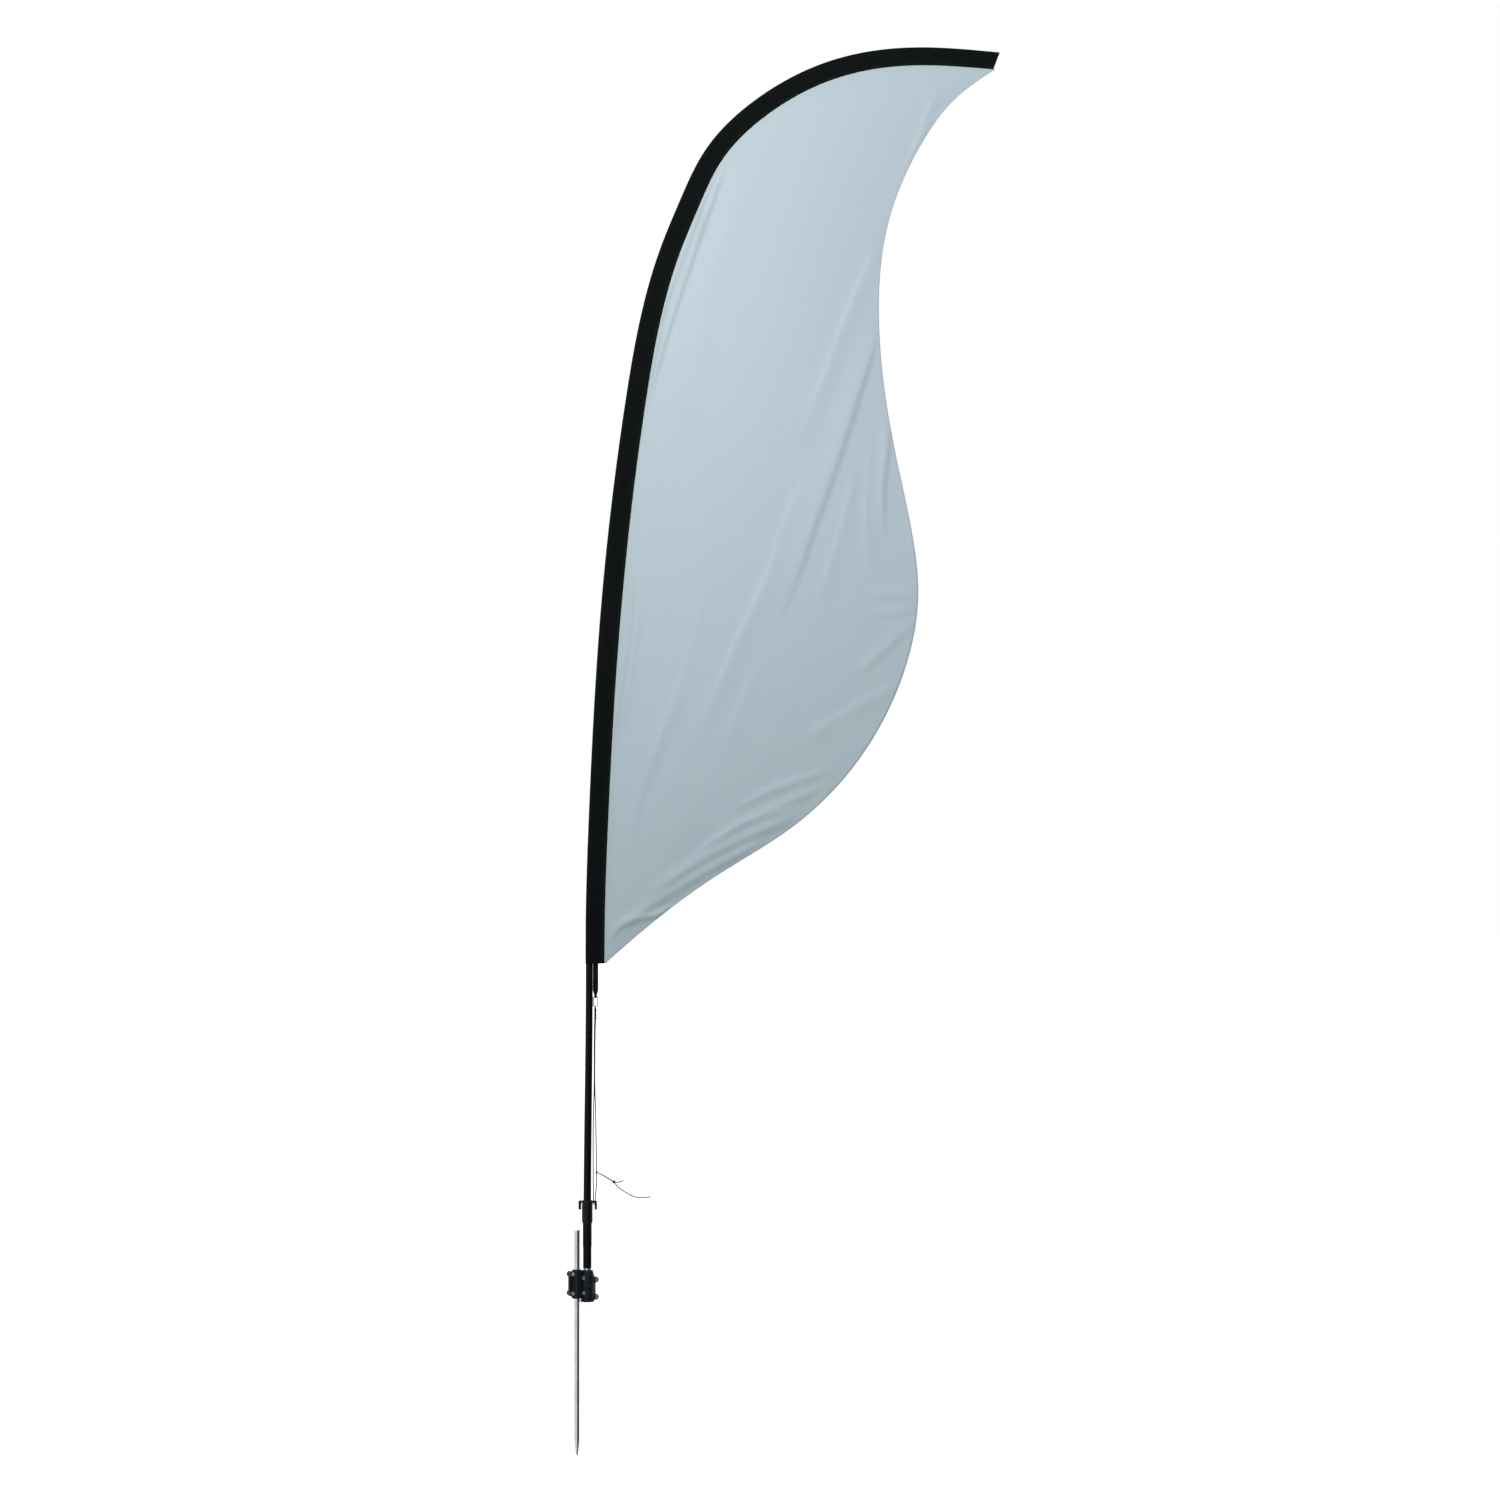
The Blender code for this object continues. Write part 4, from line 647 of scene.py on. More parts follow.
def fibreglass_material(name):
    """Pultruded fibreglass under black resin: long faint fibres and fine handling scratches."""
    colour = tuple(bpy.context.scene.flag_pole.colour)
    made, tree, shader = new_material(name, colour, 0.38, Specular_IOR_Level=0.10)
    fibres = noise(tree, coordinates(tree, "Object", (900.0, 900.0, 12.0)), 1.0)
    rubs = noise(tree, coordinates(tree, "Object", (60.0, 60.0, 25.0)), 1.0, 5.0, 0.7)
    feed(tree, shader, Base_Color=mixed(tree, fibres, shade(colour, 0.7), shade(colour, 1.8)),
         Roughness=ramp(tree, rubs, (0.3, 0.28), (0.7, 0.5)))
    raise_by(tree, shader, fibres, 0.12, 0.0001)
    return made


def coat_material(name):
    """Black powder coat on a tube: fine orange peel and a few dull rubs."""
    colour = (0.0022, 0.0030, 0.0026)
    made, tree, shader = new_material(name, colour, 0.42, Specular_IOR_Level=0.10)
    peel = noise(tree, coordinates(tree, "Object"), 1400.0, 2.0)
    rubs = noise(tree, coordinates(tree, "Object", (1.0, 1.0, 0.3)), 70.0, 5.0, 0.7)
    worn = ramp(tree, rubs, (0.5, 0.0), (0.8, 1.0))
    feed(tree, shader, Base_Color=mixed(tree, worn, colour, (0.0090, 0.0100, 0.0095)),
         Roughness=ramp(tree, rubs, (0.3, 0.36), (0.7, 0.55)))
    raise_by(tree, shader, peel, 0.15, 0.0001)
    return made


def nylon_material(name, colour):
    """Moulded nylon: fine spark-eroded grain, dull flow marks and paler rubbed patches."""
    made, tree, shader = new_material(name, colour, 0.45, Specular_IOR_Level=0.16)
    grain = noise(tree, coordinates(tree, "Object"), 2600.0, 2.0)
    flow = noise(tree, coordinates(tree, "Object"), 90.0, 4.0, 0.6)
    rubbed = ramp(tree, flow, (0.42, 0.0), (0.75, 0.8))
    feed(tree, shader, Base_Color=mixed(tree, rubbed, colour, shade(colour, 1.9, 0.002)),
         Roughness=ramp(tree, flow, (0.3, 0.36), (0.7, 0.52)))
    raise_by(tree, shader, grain, 0.25, 0.0001)
    return made


def rubber_material(name):
    """Matt moulded rubber with bloom."""
    made, tree, shader = new_material(name, (0.015, 0.015, 0.015), 0.8)
    bloom = noise(tree, coordinates(tree, "Object"), 300.0, 4.0)
    feed(tree, shader, Base_Color=mixed(tree, bloom, (0.010, 0.010, 0.010), (0.030, 0.030, 0.030)))
    raise_by(tree, shader, bloom, 0.2, 0.0002)
    return made


def acetal_material(name):
    """Turned natural acetal: fine lathe rings and a waxy body."""
    made, tree, shader = new_material(name, (0.78, 0.77, 0.72), 0.38, Subsurface_Weight=0.15)
    rings = bands(tree, coordinates(tree, "Object"), 0.0004, "Z", 0.4)
    feed(tree, shader, Base_Color=mixed(tree, rings, (0.74, 0.73, 0.67), (0.82, 0.81, 0.76)))
    raise_by(tree, shader, rings, 0.1, 0.0001)
    return made


def steel_material(name, colour, roughness, streak):
    """Plated steel: drawn streaks along streak's long axis, cloudy plating and dull scuffs."""
    made, tree, shader = new_material(name, colour, roughness, Metallic=1.0)
    drawn = noise(tree, coordinates(tree, "Object", streak), 1.0, 4.0, 0.6)
    cloud = noise(tree, coordinates(tree, "Object"), 45.0, 5.0, 0.65)
    plated = mixed(tree, ramp(tree, cloud, (0.35, 0.0), (0.8, 0.9)), colour, shade(colour, 0.72))
    scuffed = mixed(tree, ramp(tree, drawn, (0.45, 0.0), (0.7, 0.35)), plated, shade(colour, 0.6))
    rough = mixed(tree, cloud, (roughness * 0.7,) * 3, (roughness * 1.7,) * 3)
    feed(tree, shader, Base_Color=scuffed, Roughness=rough)
    raise_by(tree, shader, drawn, 0.06, 0.0002)
    return made


def clamp_nylon_material(name):
    """Blue-black nylon in the clamp's own colour."""
    return nylon_material(name, tuple(bpy.context.scene.flag_clamp.colour))


# Each finish's maker, with the values after its name.
FINISHES = {
    "sail knit": (sail_material,),
    "sleeve weave": (sleeve_material,),
    "tab webbing": (webbing_material,),
    "elastic braid": (braid_material,),
    "dark thread": (thread_material,),
    "pole resin": (fibreglass_material,),
    "tube powder coat": (coat_material,),
    "collar nylon": (nylon_material, (0.0030, 0.0034, 0.0034)),
    "clamp nylon": (clamp_nylon_material,),
    "stop rubber": (rubber_material,),
    "bush acetal": (acetal_material,),
    "drawn zinc": (steel_material, (0.66, 0.68, 0.71), 0.20, (700.0, 700.0, 9.0)),
    "bright nickel": (steel_material, (0.74, 0.73, 0.70), 0.22, (300.0, 300.0, 300.0)),
}
NODE_FINISHES = {
    "zinc_steel": "drawn zinc",
    "nickel_steel": "bright nickel",
    "clamp_nylon": "clamp nylon",
    "bush_acetal": "bush acetal",
    "black_tube": "tube powder coat",
    "collar_nylon": "collar nylon",
    "pole_fibreglass": "pole resin",
    "black_rubber": "stop rubber",
    "sleeve_cloth": "sleeve weave",
    "sail_cloth": "sail knit",
    "black_webbing": "tab webbing",
    "elastic_cord": "elastic braid",
}


def finish(name):
    """The finish of that name, made once."""
    maker, *values = FINISHES[name]
    return bpy.data.materials.get(name) or maker(name, *values)


# ---- pieces ----------------------------------------------------------------------------------------
def link_object(name, data):
    """A new object in the scene."""
    made = bpy.data.objects.new(name, data)
    bpy.context.scene.collection.objects.link(made)
    return made


def add_camera():
    """A camera level with the flag's middle."""
    settings = bpy.context.scene.flag_stage
    lens = bpy.data.cameras.new("flag camera")
    lens.lens = settings.lens
    lens.sensor_width = CAMERA_SENSOR
    camera = link_object("flag camera", lens)
    camera.location = (CAMERA_AIM[0], SPINDLE_Y - settings.camera_distance, CAMERA_AIM[1])
    camera.rotation_euler = (math.radians(90.0), 0.0, 0.0)
    bpy.context.scene.camera = camera
    bpy.context.scene.view_settings.view_transform = "Standard"
    bpy.context.scene.view_settings.look = "None"


def set_surroundings():
    """White to the camera, a soft sky to matt faces, and white with a dark side in reflections."""
    world = bpy.data.worlds.new("flag surroundings")
    bpy.context.scene.world = world
    world.use_nodes = True
    tree = world.node_tree
    direction = tree.nodes.new("ShaderNodeTexCoord").outputs["Generated"]
    split = add_node(tree, "ShaderNodeSeparateXYZ", Vector=direction)
    sky = ramp(tree, math_node(tree, "MULTIPLY_ADD", split.outputs["Z"], 0.5, 0.5), *SKY)
    facing = tree.nodes.new("ShaderNodeVectorMath")
    facing.operation = "DOT_PRODUCT"
    for socket, value in zip(facing.inputs, (direction, DARK_SIDE)):
        plug(tree, socket, value)
    front = ramp(tree, facing.outputs["Value"], (0.60, 1.0), (0.80, 0.05))
    seen = tree.nodes.new("ShaderNodeLightPath")
    bright = mixed(tree, 1.0, (0.98, 0.99, 1.0), front, "MULTIPLY")
    mirrored = mixed(tree, seen.outputs["Is Glossy Ray"], sky, bright)
    plain = mixed(tree, seen.outputs["Is Camera Ray"], mirrored, (1.0, 1.0, 1.0))
    feed(tree, tree.nodes["Background"], Color=plain)


def add_lamp(name, place, target, size, power):
    """A round lamp at a place, turned to its target."""
    lamp = bpy.data.lights.new(name, "AREA")
    lamp.shape = "DISK"
    lamp.size = size
    lamp.energy = power
    lamp.color = LAMP_COLOUR
    holder = link_object(name, lamp)
    holder.location = place
    holder.rotation_euler = (Vector(target) - Vector(place)).to_track_quat("-Z", "Y").to_euler()


def add_floor():
    """A white floor that neither lights the pieces nor shows in them."""
    data = bpy.data.meshes.new("floor")
    low = CAD_BOX[0].z - bpy.context.scene.flag_stage.floor_drop
    corners = [(x * FLOOR_REACH, y * FLOOR_REACH, low) for x, y in ((-1, -1), (1, -1), (1, 1), (-1, 1))]
    data.from_pydata(corners, [], [(0, 1, 2, 3)])
    made, tree, shader = new_material("floor paper", (0.92, 0.92, 0.92), 0.9,
                                      Emission_Color=(1.0, 1.0, 1.0, 1.0), Emission_Strength=0.80)
    paper = noise(tree, coordinates(tree, "Object"), 6.0, 2.0)
    feed(tree, shader, Base_Color=mixed(tree, paper, (0.91, 0.91, 0.91), (0.93, 0.93, 0.93)))
    data.materials.append(made)
    floor = link_object("floor", data)
    floor.visible_diffuse = False
    floor.visible_glossy = False


def make_stage():
    """Camera, white surroundings, lamps near the sail's top and a white floor."""
    add_camera()
    set_surroundings()
    for name, place, target, size, share in LAMPS:
        add_lamp(name, place, target, size, bpy.context.scene.flag_stage.key_power * share)
    add_floor()


def cord_line(route):
    """A smooth line through a route, with points every CORD_STEP or closer."""
    fine = natural_spline(route, 3000)
    long = lengths_along(fine)[-1]
    return sample(fine, np.linspace(0.0, long, max(8, int(math.ceil(long / CORD_STEP)) + 1)))


def make_cords():
    """The elastic loop from the ring to the right-hand ear, its knots, its tails and its hitch."""
    settings = bpy.context.scene.flag_cord
    radius = settings.diameter / 2.0
    look = (finish("elastic braid"), "pole", "elastic_cord")
    loop_knot, tails_knot = (
        tube(name, overhand_line(centre, turn), radius * 0.92, KNOT_SIDES, *look, closed=True)[0]
        for name, centre, turn in (("loop_knot", KNOT_CENTRE, 1.25), ("tails_knot", TAIL_KNOT_CENTRE, 1.1)))
    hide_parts("cord_knot")
    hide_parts("tail_knot")
    hitch, _ = tube("ring_hitch_wraps", hitch_line(radius), radius * 0.94, KNOT_SIDES, *look,
                    twist=(0.0, 0.0, 1.0))
    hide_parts("ring_hitch")
    over, _ = tube("ring_hitch_bight", bight_line(radius), radius, KNOT_SIDES, *look, twist=(1.0, 0.0, 0.0))
    for name, nodes, route, far_end, pieces in (
            ("strand_front", ("cord_front",), CORD_FRONT, "knot", [loop_knot]),
            ("strand_rear", ("cord_rear",), CORD_REAR, "object", [hitch, over]),
            ("tail_long", ("cord_tail_long", "tail_end_long"), TAIL_LONG + TAIL_END_LONG, "bare", [tails_knot]),
            ("tail_short", ("cord_tail_short", "tail_end_short"), TAIL_SHORT + TAIL_END_SHORT, "bare", [])):
        piece, line = tube(name, cord_line(route), radius, settings.sides, *look)
        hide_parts(*nodes)


def overhand_line(centre, turn):
    """An overhand knot drawn tight: x is sin t + 2 sin 2t, y is cos t - 2 cos 2t, and z is -1.3 sin 3t,
    turned in the (x, z) plane."""
    t = np.linspace(0.0, math.tau, 96, endpoint=False)
    x, y, z = np.sin(t) + 2 * np.sin(2 * t), np.cos(t) - 2 * np.cos(2 * t), -1.3 * np.sin(3 * t)
    across = x * math.cos(turn) - z * math.sin(turn)
    up = x * math.sin(turn) + z * math.cos(turn)
    return np.stack([across, y, up * 1.22], axis=1) * KNOT_SIZE + np.asarray(centre)


def ring_bottom():
    """Height of the ring's lowest point."""
    return float(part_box("tab_ring")[0].z)


def hitch_line(radius):
    """Close turns round the two strands: a helix that climbs one cord's width each turn."""
    top = ring_bottom() - GAP - radius
    low = HITCH_BOTTOM + radius
    turns = (top - low) / (radius * 1.95)
    t = np.linspace(0.0, 1.0, int(turns * 26))
    swell = 0.00175 + 0.00018 * np.sin(t * 19.0)
    return np.stack([HITCH_X + swell * np.cos(math.tau * turns * t),
                     SPINDLE_Y + swell * np.sin(math.tau * turns * t), low + (top - low) * t], axis=1)


def bight_line(radius):
    """The bight over the ring's foot: half a circle over the wire, with its two legs straight down."""
    wire = bpy.context.scene.flag_sleeve.ring_wire / 2.0
    reach = wire + radius + 0.0001
    middle = ring_bottom() + wire
    angles = np.linspace(0.0, math.pi, 22)
    arc = np.stack([np.full(22, HITCH_X), SPINDLE_Y + reach * np.cos(angles), middle + reach * np.sin(angles)],
                   axis=1)
    drop = np.linspace(0.0050, 0.0004, 6)[:, None] * np.array((0.0, 0.0, -1.0))
    legs = 0.35 * np.linspace(1.0, 0.0, 6)[:, None] * np.array((0.0, 1.0, 0.0)) * 0.004
    return np.concatenate([arc[0] + drop - legs, arc, (arc[-1] + drop + legs)[::-1]])


def fold_heights(places):
    """Height of all folds at (x, z) places.

    Each fold is its height times exp(-(distance / width)^2) from the nearest point of its route, with
    one width on the lit flank and one on the shaded flank, eased to nothing at both ends of the route.
    """
    total = np.zeros(len(places))
    for height, lit, shaded, route in FOLDS:
        line = natural_spline(route, 24)
        along = lengths_along(line)
        start, step = line[:-1], np.diff(line, axis=0)
        long = np.linalg.norm(step, axis=1)
        away = places[:, None, :] - start[None]
        share = np.clip((away * step).sum(axis=2) / long ** 2, 0.0, 1.0)
        offset = away - share[..., None] * step
        distance = np.linalg.norm(offset, axis=2)
        nearest = distance.argmin(axis=1)
        pick = np.arange(len(places))
        offset, distance = offset[pick, nearest], distance[pick, nearest]
        travelled = (along[nearest] + share[pick, nearest] * long[nearest]) / along[-1]
        width = np.where(offset @ LIGHT_SIDE > 0.0, lit, shaded)
        fade = smooth(travelled / 0.22) * smooth((1.0 - travelled) / 0.30)
        total += height * fade * np.exp(-(distance / width) ** 2)
    return total


def make_sail():
    """The sail: straight rows from seam to trailing edge, filled by the belly, folded and rippled.

    Depth is fullness times (curl share^3 - belly sin(pi share^0.85)), less the folds, where fullness
    is sin(pi down)^0.8, less at the top.
    """
    settings = bpy.context.scene.flag_sail
    rows, columns = settings.rows, settings.columns
    down = np.linspace(0.0, 1.0, rows)
    distance = POLE_LENGTH - 0.001 + (SLEEVE_START - POLE_LENGTH + 0.001) * down
    centre, normal, _ = pole_frame(distance)
    leading = centre + normal * (seam_inset(distance) - SEAM_OVERLAP)[:, None]
    edge_from = centre + normal * (seam_inset(distance) + GAP)[:, None]
    corner = np.array((SAIL_CORNER, 0.0))
    route = np.vstack((edge_from[0] + corner, in_flag_plane(TRAILING_EDGE), edge_from[-1] + corner))
    edge = natural_spline(route, 2500)
    trailing = sample(edge, down * lengths_along(edge)[-1])
    share = np.linspace(0.0, 1.0, columns)
    flat = leading[:, None, :] + (trailing - leading)[:, None, :] * share[None, :, None]
    fullness = np.sin(math.pi * down) ** BELLY_SPREAD * (0.50 + 0.50 * smooth(down * 1.7))
    width = np.linalg.norm(trailing - leading, axis=1)
    free_width = np.maximum(width - SEAM_OVERLAP, 0.01)[:, None]
    free = np.clip((share[None, :] * width[:, None] - SEAM_OVERLAP) / free_width, 0.0, 1.0)
    shape = settings.curl * free ** 3 - settings.belly * np.sin(math.pi * free ** BELLY_LEAN)
    depth = fullness[:, None] * shape
    folds = fold_heights(flat.reshape(-1, 2)).reshape(rows, columns) * settings.fold_height
    held = smooth(free * width[:, None] / 0.014)
    x, z = flat[..., 0], flat[..., 1]
    long_wave = np.sin(x * 61.0 - z * 23.0 + 1.3 * np.sin(z * 7.0))
    short_wave = 0.7 * np.sin(x * 97.0 - z * 41.0 + 2.1 + np.sin(x * 11.0))
    ripple = (0.00010 + 0.00014 * smooth((2.2 - z) / 0.8)) * (long_wave + short_wave)
    folds *= 1.0 - 0.65 * smooth((free - 0.95) / 0.05)
    y = SPINDLE_Y + depth - held * (folds + ripple)
    grid = np.stack([x, y, z], axis=-1)
    piece = surface("sail_cloth_panel", grid, share, down, finish("sail knit"), "pole")
    set_cloth_uv(piece, share[None, :] * width[:, None], np.repeat((down * 2.6)[:, None], columns, axis=1))
    solidify(piece, settings.thickness, 0.0)
    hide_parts("sail")
    outline = np.concatenate([leading, trailing[::-1]])
    following = np.roll(outline, -1, axis=0)
    area = abs(float((outline[:, 0] * following[:, 1] - following[:, 0] * outline[:, 1]).sum())) / 2.0
    return piece, np.ptp(outline, axis=0).tolist(), area


def set_cloth_uv(piece, across, along):
    """Gives each corner the cloth's own lengths in metres at its point."""
    data = piece.data
    corner = np.empty(len(data.loops), dtype=np.int32)
    data.loops.foreach_get("vertex_index", corner)
    uv = np.stack([across.ravel()[corner], along.ravel()[corner]], axis=1)
    data.uv_layers["UVMap"].data.foreach_set("uv", uv.astype(np.float32).ravel())


def solidify(piece, thickness, offset):
    """Gives a sheet its thickness."""
    wall = piece.modifiers.new("thickness", "SOLIDIFY")
    wall.thickness = thickness
    wall.offset = offset
    wall.use_even_offset = True


def drop_half(run, radius):
    """Half the sleeve's thickness: its radius at the pole (run 0), eased to the seam's (run 1)."""
    return SEAM_HALF_THICKNESS + (radius - SEAM_HALF_THICKNESS) * (1.0 - smooth(run / 0.86)) ** 1.15


def make_sleeve():
    """The sleeve: a drop-shaped section carried along the pole, puckered beside the seam.

    From the seam the section runs straight to the half circle over the pole and back; the pucker is a
    sum of short waves along the sleeve that fades towards the pole.
    """
    settings = bpy.context.scene.flag_sleeve
    rows, side_points, arc_points = 700, 12, 21
    end_at = POLE_LENGTH + SLEEVE_TIP_OUTSIDE
    distance = np.linspace(SLEEVE_START - SLEEVE_OVERHANG, end_at, rows)
    on_pole = np.minimum(distance, POLE_LENGTH)
    past = np.maximum(distance - POLE_LENGTH, 0.0)
    centre, normal, along = pole_frame(on_pole)
    centre = centre + along * past[:, None]
    flatten = 1.0 - smooth((distance - POLE_LENGTH + 0.002) / SLEEVE_TIP_OUTSIDE) * 0.68
    radius = pole_radius(on_pole) + GAP + SLEEVE_CLOTH
    end = seam_inset(on_pole)
    t = np.linspace(0.0, 1.0, side_points, endpoint=False)
    run = np.concatenate([1.0 - t, np.zeros(arc_points), t[1:], [1.0]])
    angle = np.concatenate([np.full(side_points, math.pi / 2), np.linspace(0.5, 1.5, arc_points) * math.pi,
                            np.full(side_points, 1.5 * math.pi)])
    inward = np.where(run > 0.0, run * end[:, None], radius[:, None] * np.cos(angle)[None, :])
    half = drop_half(run, radius[:, None])
    sideways = np.where(run > 0.0, np.sign(np.sin(angle)) * half, radius[:, None] * np.sin(angle)[None, :])
    sideways = sideways * flatten[:, None]
    s = distance[:, None]
    tight = smooth((s - 1.5) / 0.8) * 0.8 + 0.5
    wave = (np.sin(s * 171.0 + 2.0 * np.sin(s * 19.0)) + 0.7 * np.sin(s * 263.0 + 1.7 * np.sin(s * 31.0))
            + 0.9 * np.sin(s * 61.0 + run * 5.0))
    fade = smooth(run / 0.35) * smooth((1.0 - run) / 0.10)
    sideways = sideways + np.sign(np.sin(angle)) * settings.pucker * tight * wave * fade * 0.45
    shear = np.where(past[:, None] > 0.0, 1.0, smooth((s - POLE_LENGTH + 0.05) / 0.05))
    slant = -SLEEVE_TIP_SHEAR * (inward + radius[:, None]) * shear
    x = centre[:, :1] + normal[:, :1] * inward + along[:, :1] * slant
    z = centre[:, 1:] + normal[:, 1:] * inward + along[:, 1:] * slant
    grid = np.stack([x, SPINDLE_Y + sideways, z], axis=-1)
    around = round_lengths(np.stack([inward[0], sideways[0]], axis=1), 2.0 * SEAM_HALF_THICKNESS)
    piece = surface("sleeve_cloth_tube", grid, around, distance - SLEEVE_START, finish("sleeve weave"), "pole",
                    around=True)
    solidify(piece, SLEEVE_CLOTH * 0.8, -1.0)
    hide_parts("sleeve")
    return piece


def make_pole():
    """Four tapered tubes: a ring of the pole's radius carried along its line, out and back inside."""
    settings = bpy.context.scene.flag_pole
    angles = np.linspace(0.0, math.tau, settings.sides, endpoint=False)
    ease, steps = 0.0006, 70
    for section in range(POLE_SECTIONS):
        first = POLE_LENGTH * section / POLE_SECTIONS + GAP / 2
        last = POLE_LENGTH * (section + 1) / POLE_SECTIONS - GAP / 2
        outer = np.concatenate([[first], np.linspace(first + ease, last - ease, steps), [last]])
        distance = np.concatenate([outer, outer[::-1]])
        wall = np.repeat([0.0, POLE_WALL], steps + 2)
        wall[[0, steps + 1]] = ease * 0.6
        radius = pole_radius(distance) - wall
        centre, normal, _ = pole_frame(distance)
        inward = radius[:, None] * np.cos(angles)
        grid = np.stack([centre[:, :1] + normal[:, :1] * inward,
                         SPINDLE_Y + radius[:, None] * np.sin(angles),
                         centre[:, 1:] + normal[:, 1:] * inward], axis=-1)
        around = np.linspace(0.0, math.tau * POLE_FOOT_RADIUS, settings.sides + 1)
        piece = surface(f"pole_tube_{section + 1}", grid, around, round_lengths(centre, POLE_WALL),
                        finish("pole resin"), "pole", around=True, closed=True)
        face_out(piece)
        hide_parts(f"pole_section_{section + 1}")


def moulded(name, node, cell, share, passes, material, body):
    """A moulded copy of a node: remade in even cells of a set size, eased by averaging each point with
    its neighbours, and thinned where it is flat, so that every sharp edge is a small radius."""
    data = frame["nodes"][node].data.copy()
    data.name = name
    piece = link_object(name, data)
    weld = piece.modifiers.new("weld", "WELD")
    weld.merge_threshold = 0.00001
    cells = piece.modifiers.new("cells", "REMESH")
    cells.mode = "VOXEL"
    cells.voxel_size = cell
    cells.use_smooth_shade = True
    ease = piece.modifiers.new("ease", "SMOOTH")
    ease.factor = 0.5
    ease.iterations = passes
    thin = piece.modifiers.new("thin", "DECIMATE")
    thin.ratio = share
    ready = piece.evaluated_get(bpy.context.evaluated_depsgraph_get())
    made = bpy.data.meshes.new_from_object(ready)
    piece.modifiers.clear()
    piece.data = made
    made.name = name
    made.materials.clear()
    made.materials.append(material)
    made.shade_smooth()
    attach(piece, body)
    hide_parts(node)
    return piece


def make_clamp():
    """The two moulded shells and the cap under them."""
    nylon = finish("clamp nylon")
    for node, name in (("clamp_front", "front_shell"), ("clamp_rear", "rear_shell")):
        moulded(name, node, 0.00050, 0.30, 4, nylon, "clamp")
    moulded("cap_shell", "housing_cap", 0.00045, 0.35, 3, nylon, "clamp")


def make_collar():
    """The moulded collar with its three hooked ears."""
    moulded("ear_collar", "hook_collar", 0.00045, 0.35, 4, finish("collar nylon"), "pole")


def make_screws():
    """Six socket-head screws, each turned about the clamp's front direction.

    The radius follows the profile; in the socket's rows it is a hexagon's, the flat's distance over
    the cosine of the angle from the nearest flat's middle.
    """
    front = np.array((math.sin(CLAMP_YAW), -math.cos(CLAMP_YAW), 0.0))
    side = np.array((math.cos(CLAMP_YAW), math.sin(CLAMP_YAW), 0.0))
    upright = np.array((0.0, 0.0, 1.0))
    angles = np.linspace(0.0, math.tau, 48, endpoint=False)
    flat = np.cos(math.pi / 6) / np.cos((angles % (math.pi / 3)) - math.pi / 6)
    for number in range(1, 7):
        node = f"clamp_screw_{number}"
        points = mesh_points(frame["nodes"][node].data)
        reach, across, height = points @ front, points @ side, points @ upright
        long = float(np.ptp(reach))
        middle = (side * (across.max() + across.min()) + upright * (height.max() + height.min())) / 2.0
        foot = front * reach.min() + middle
        profile = np.array([(0.0002, 0.0), (SCREW_RADIUS - 0.0004, 0.0), (SCREW_RADIUS, 0.0004),
                            (SCREW_RADIUS, long - HEAD_HEIGHT), (HEAD_RADIUS - 0.0002, long - HEAD_HEIGHT),
                            (HEAD_RADIUS, long - HEAD_HEIGHT + 0.0003), (HEAD_RADIUS, long - 0.0008),
                            (HEAD_RADIUS - 0.0002, long - 0.0003), (HEAD_RADIUS - 0.0007, long),
                            (SOCKET_RADIUS + 0.0002, long), (SOCKET_RADIUS, long - 0.0002),
                            (SOCKET_RADIUS, long - 0.0017), (0.0002, long - 0.0019)])
        hexed = np.zeros(len(profile))
        hexed[10:12] = 1.0
        radius = profile[:, :1] * (1.0 + hexed[:, None] * (flat[None, :] - 1.0))
        grid = (foot + front * profile[:, 1][:, None, None]
                + side * (radius * np.cos(angles))[..., None] + upright * (radius * np.sin(angles))[..., None])
        piece = surface(f"screw_{number}", grid, np.linspace(0.0, math.tau * HEAD_RADIUS, 49),
                        lengths_along(profile), finish("bright nickel"), "clamp", around=True,
                        caps=True)
        face_out(piece)
        piece.data.set_sharp_from_angle(angle=math.radians(35.0))
        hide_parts(node)


def make_spindle():
    """The spindle: a turned pin with a chamfered collar that rests on the clamp."""
    low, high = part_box("spindle")
    pin, groove, collar = SPINDLE_RADIUS, SPINDLE_GROOVE, SPINDLE_COLLAR
    ring_low, ring_high = (end.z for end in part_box("retaining_ring"))
    bevel, small = 0.0006, 0.0004
    profile = [(AXIS, low.z), (pin - bevel, low.z), (pin, low.z + bevel), (pin, ring_low - GAP),
               (groove, ring_low - GAP), (groove, ring_high + GAP), (pin, ring_high + GAP),
               (pin, COLLAR_BOTTOM), (collar - small, COLLAR_BOTTOM), (collar, COLLAR_BOTTOM + small),
               (collar, COLLAR_TOP - small), (collar - small, COLLAR_TOP), (pin, COLLAR_TOP),
               (pin, high.z - bevel), (pin - bevel, high.z), (AXIS, high.z)]
    piece = turned("spindle_pin", profile, 72, finish("drawn zinc"), "pole",
                   place=(SPINDLE_X, SPINDLE_Y, 0.0))
    piece.data.set_sharp_from_angle(angle=math.radians(35.0))
    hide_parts("spindle")


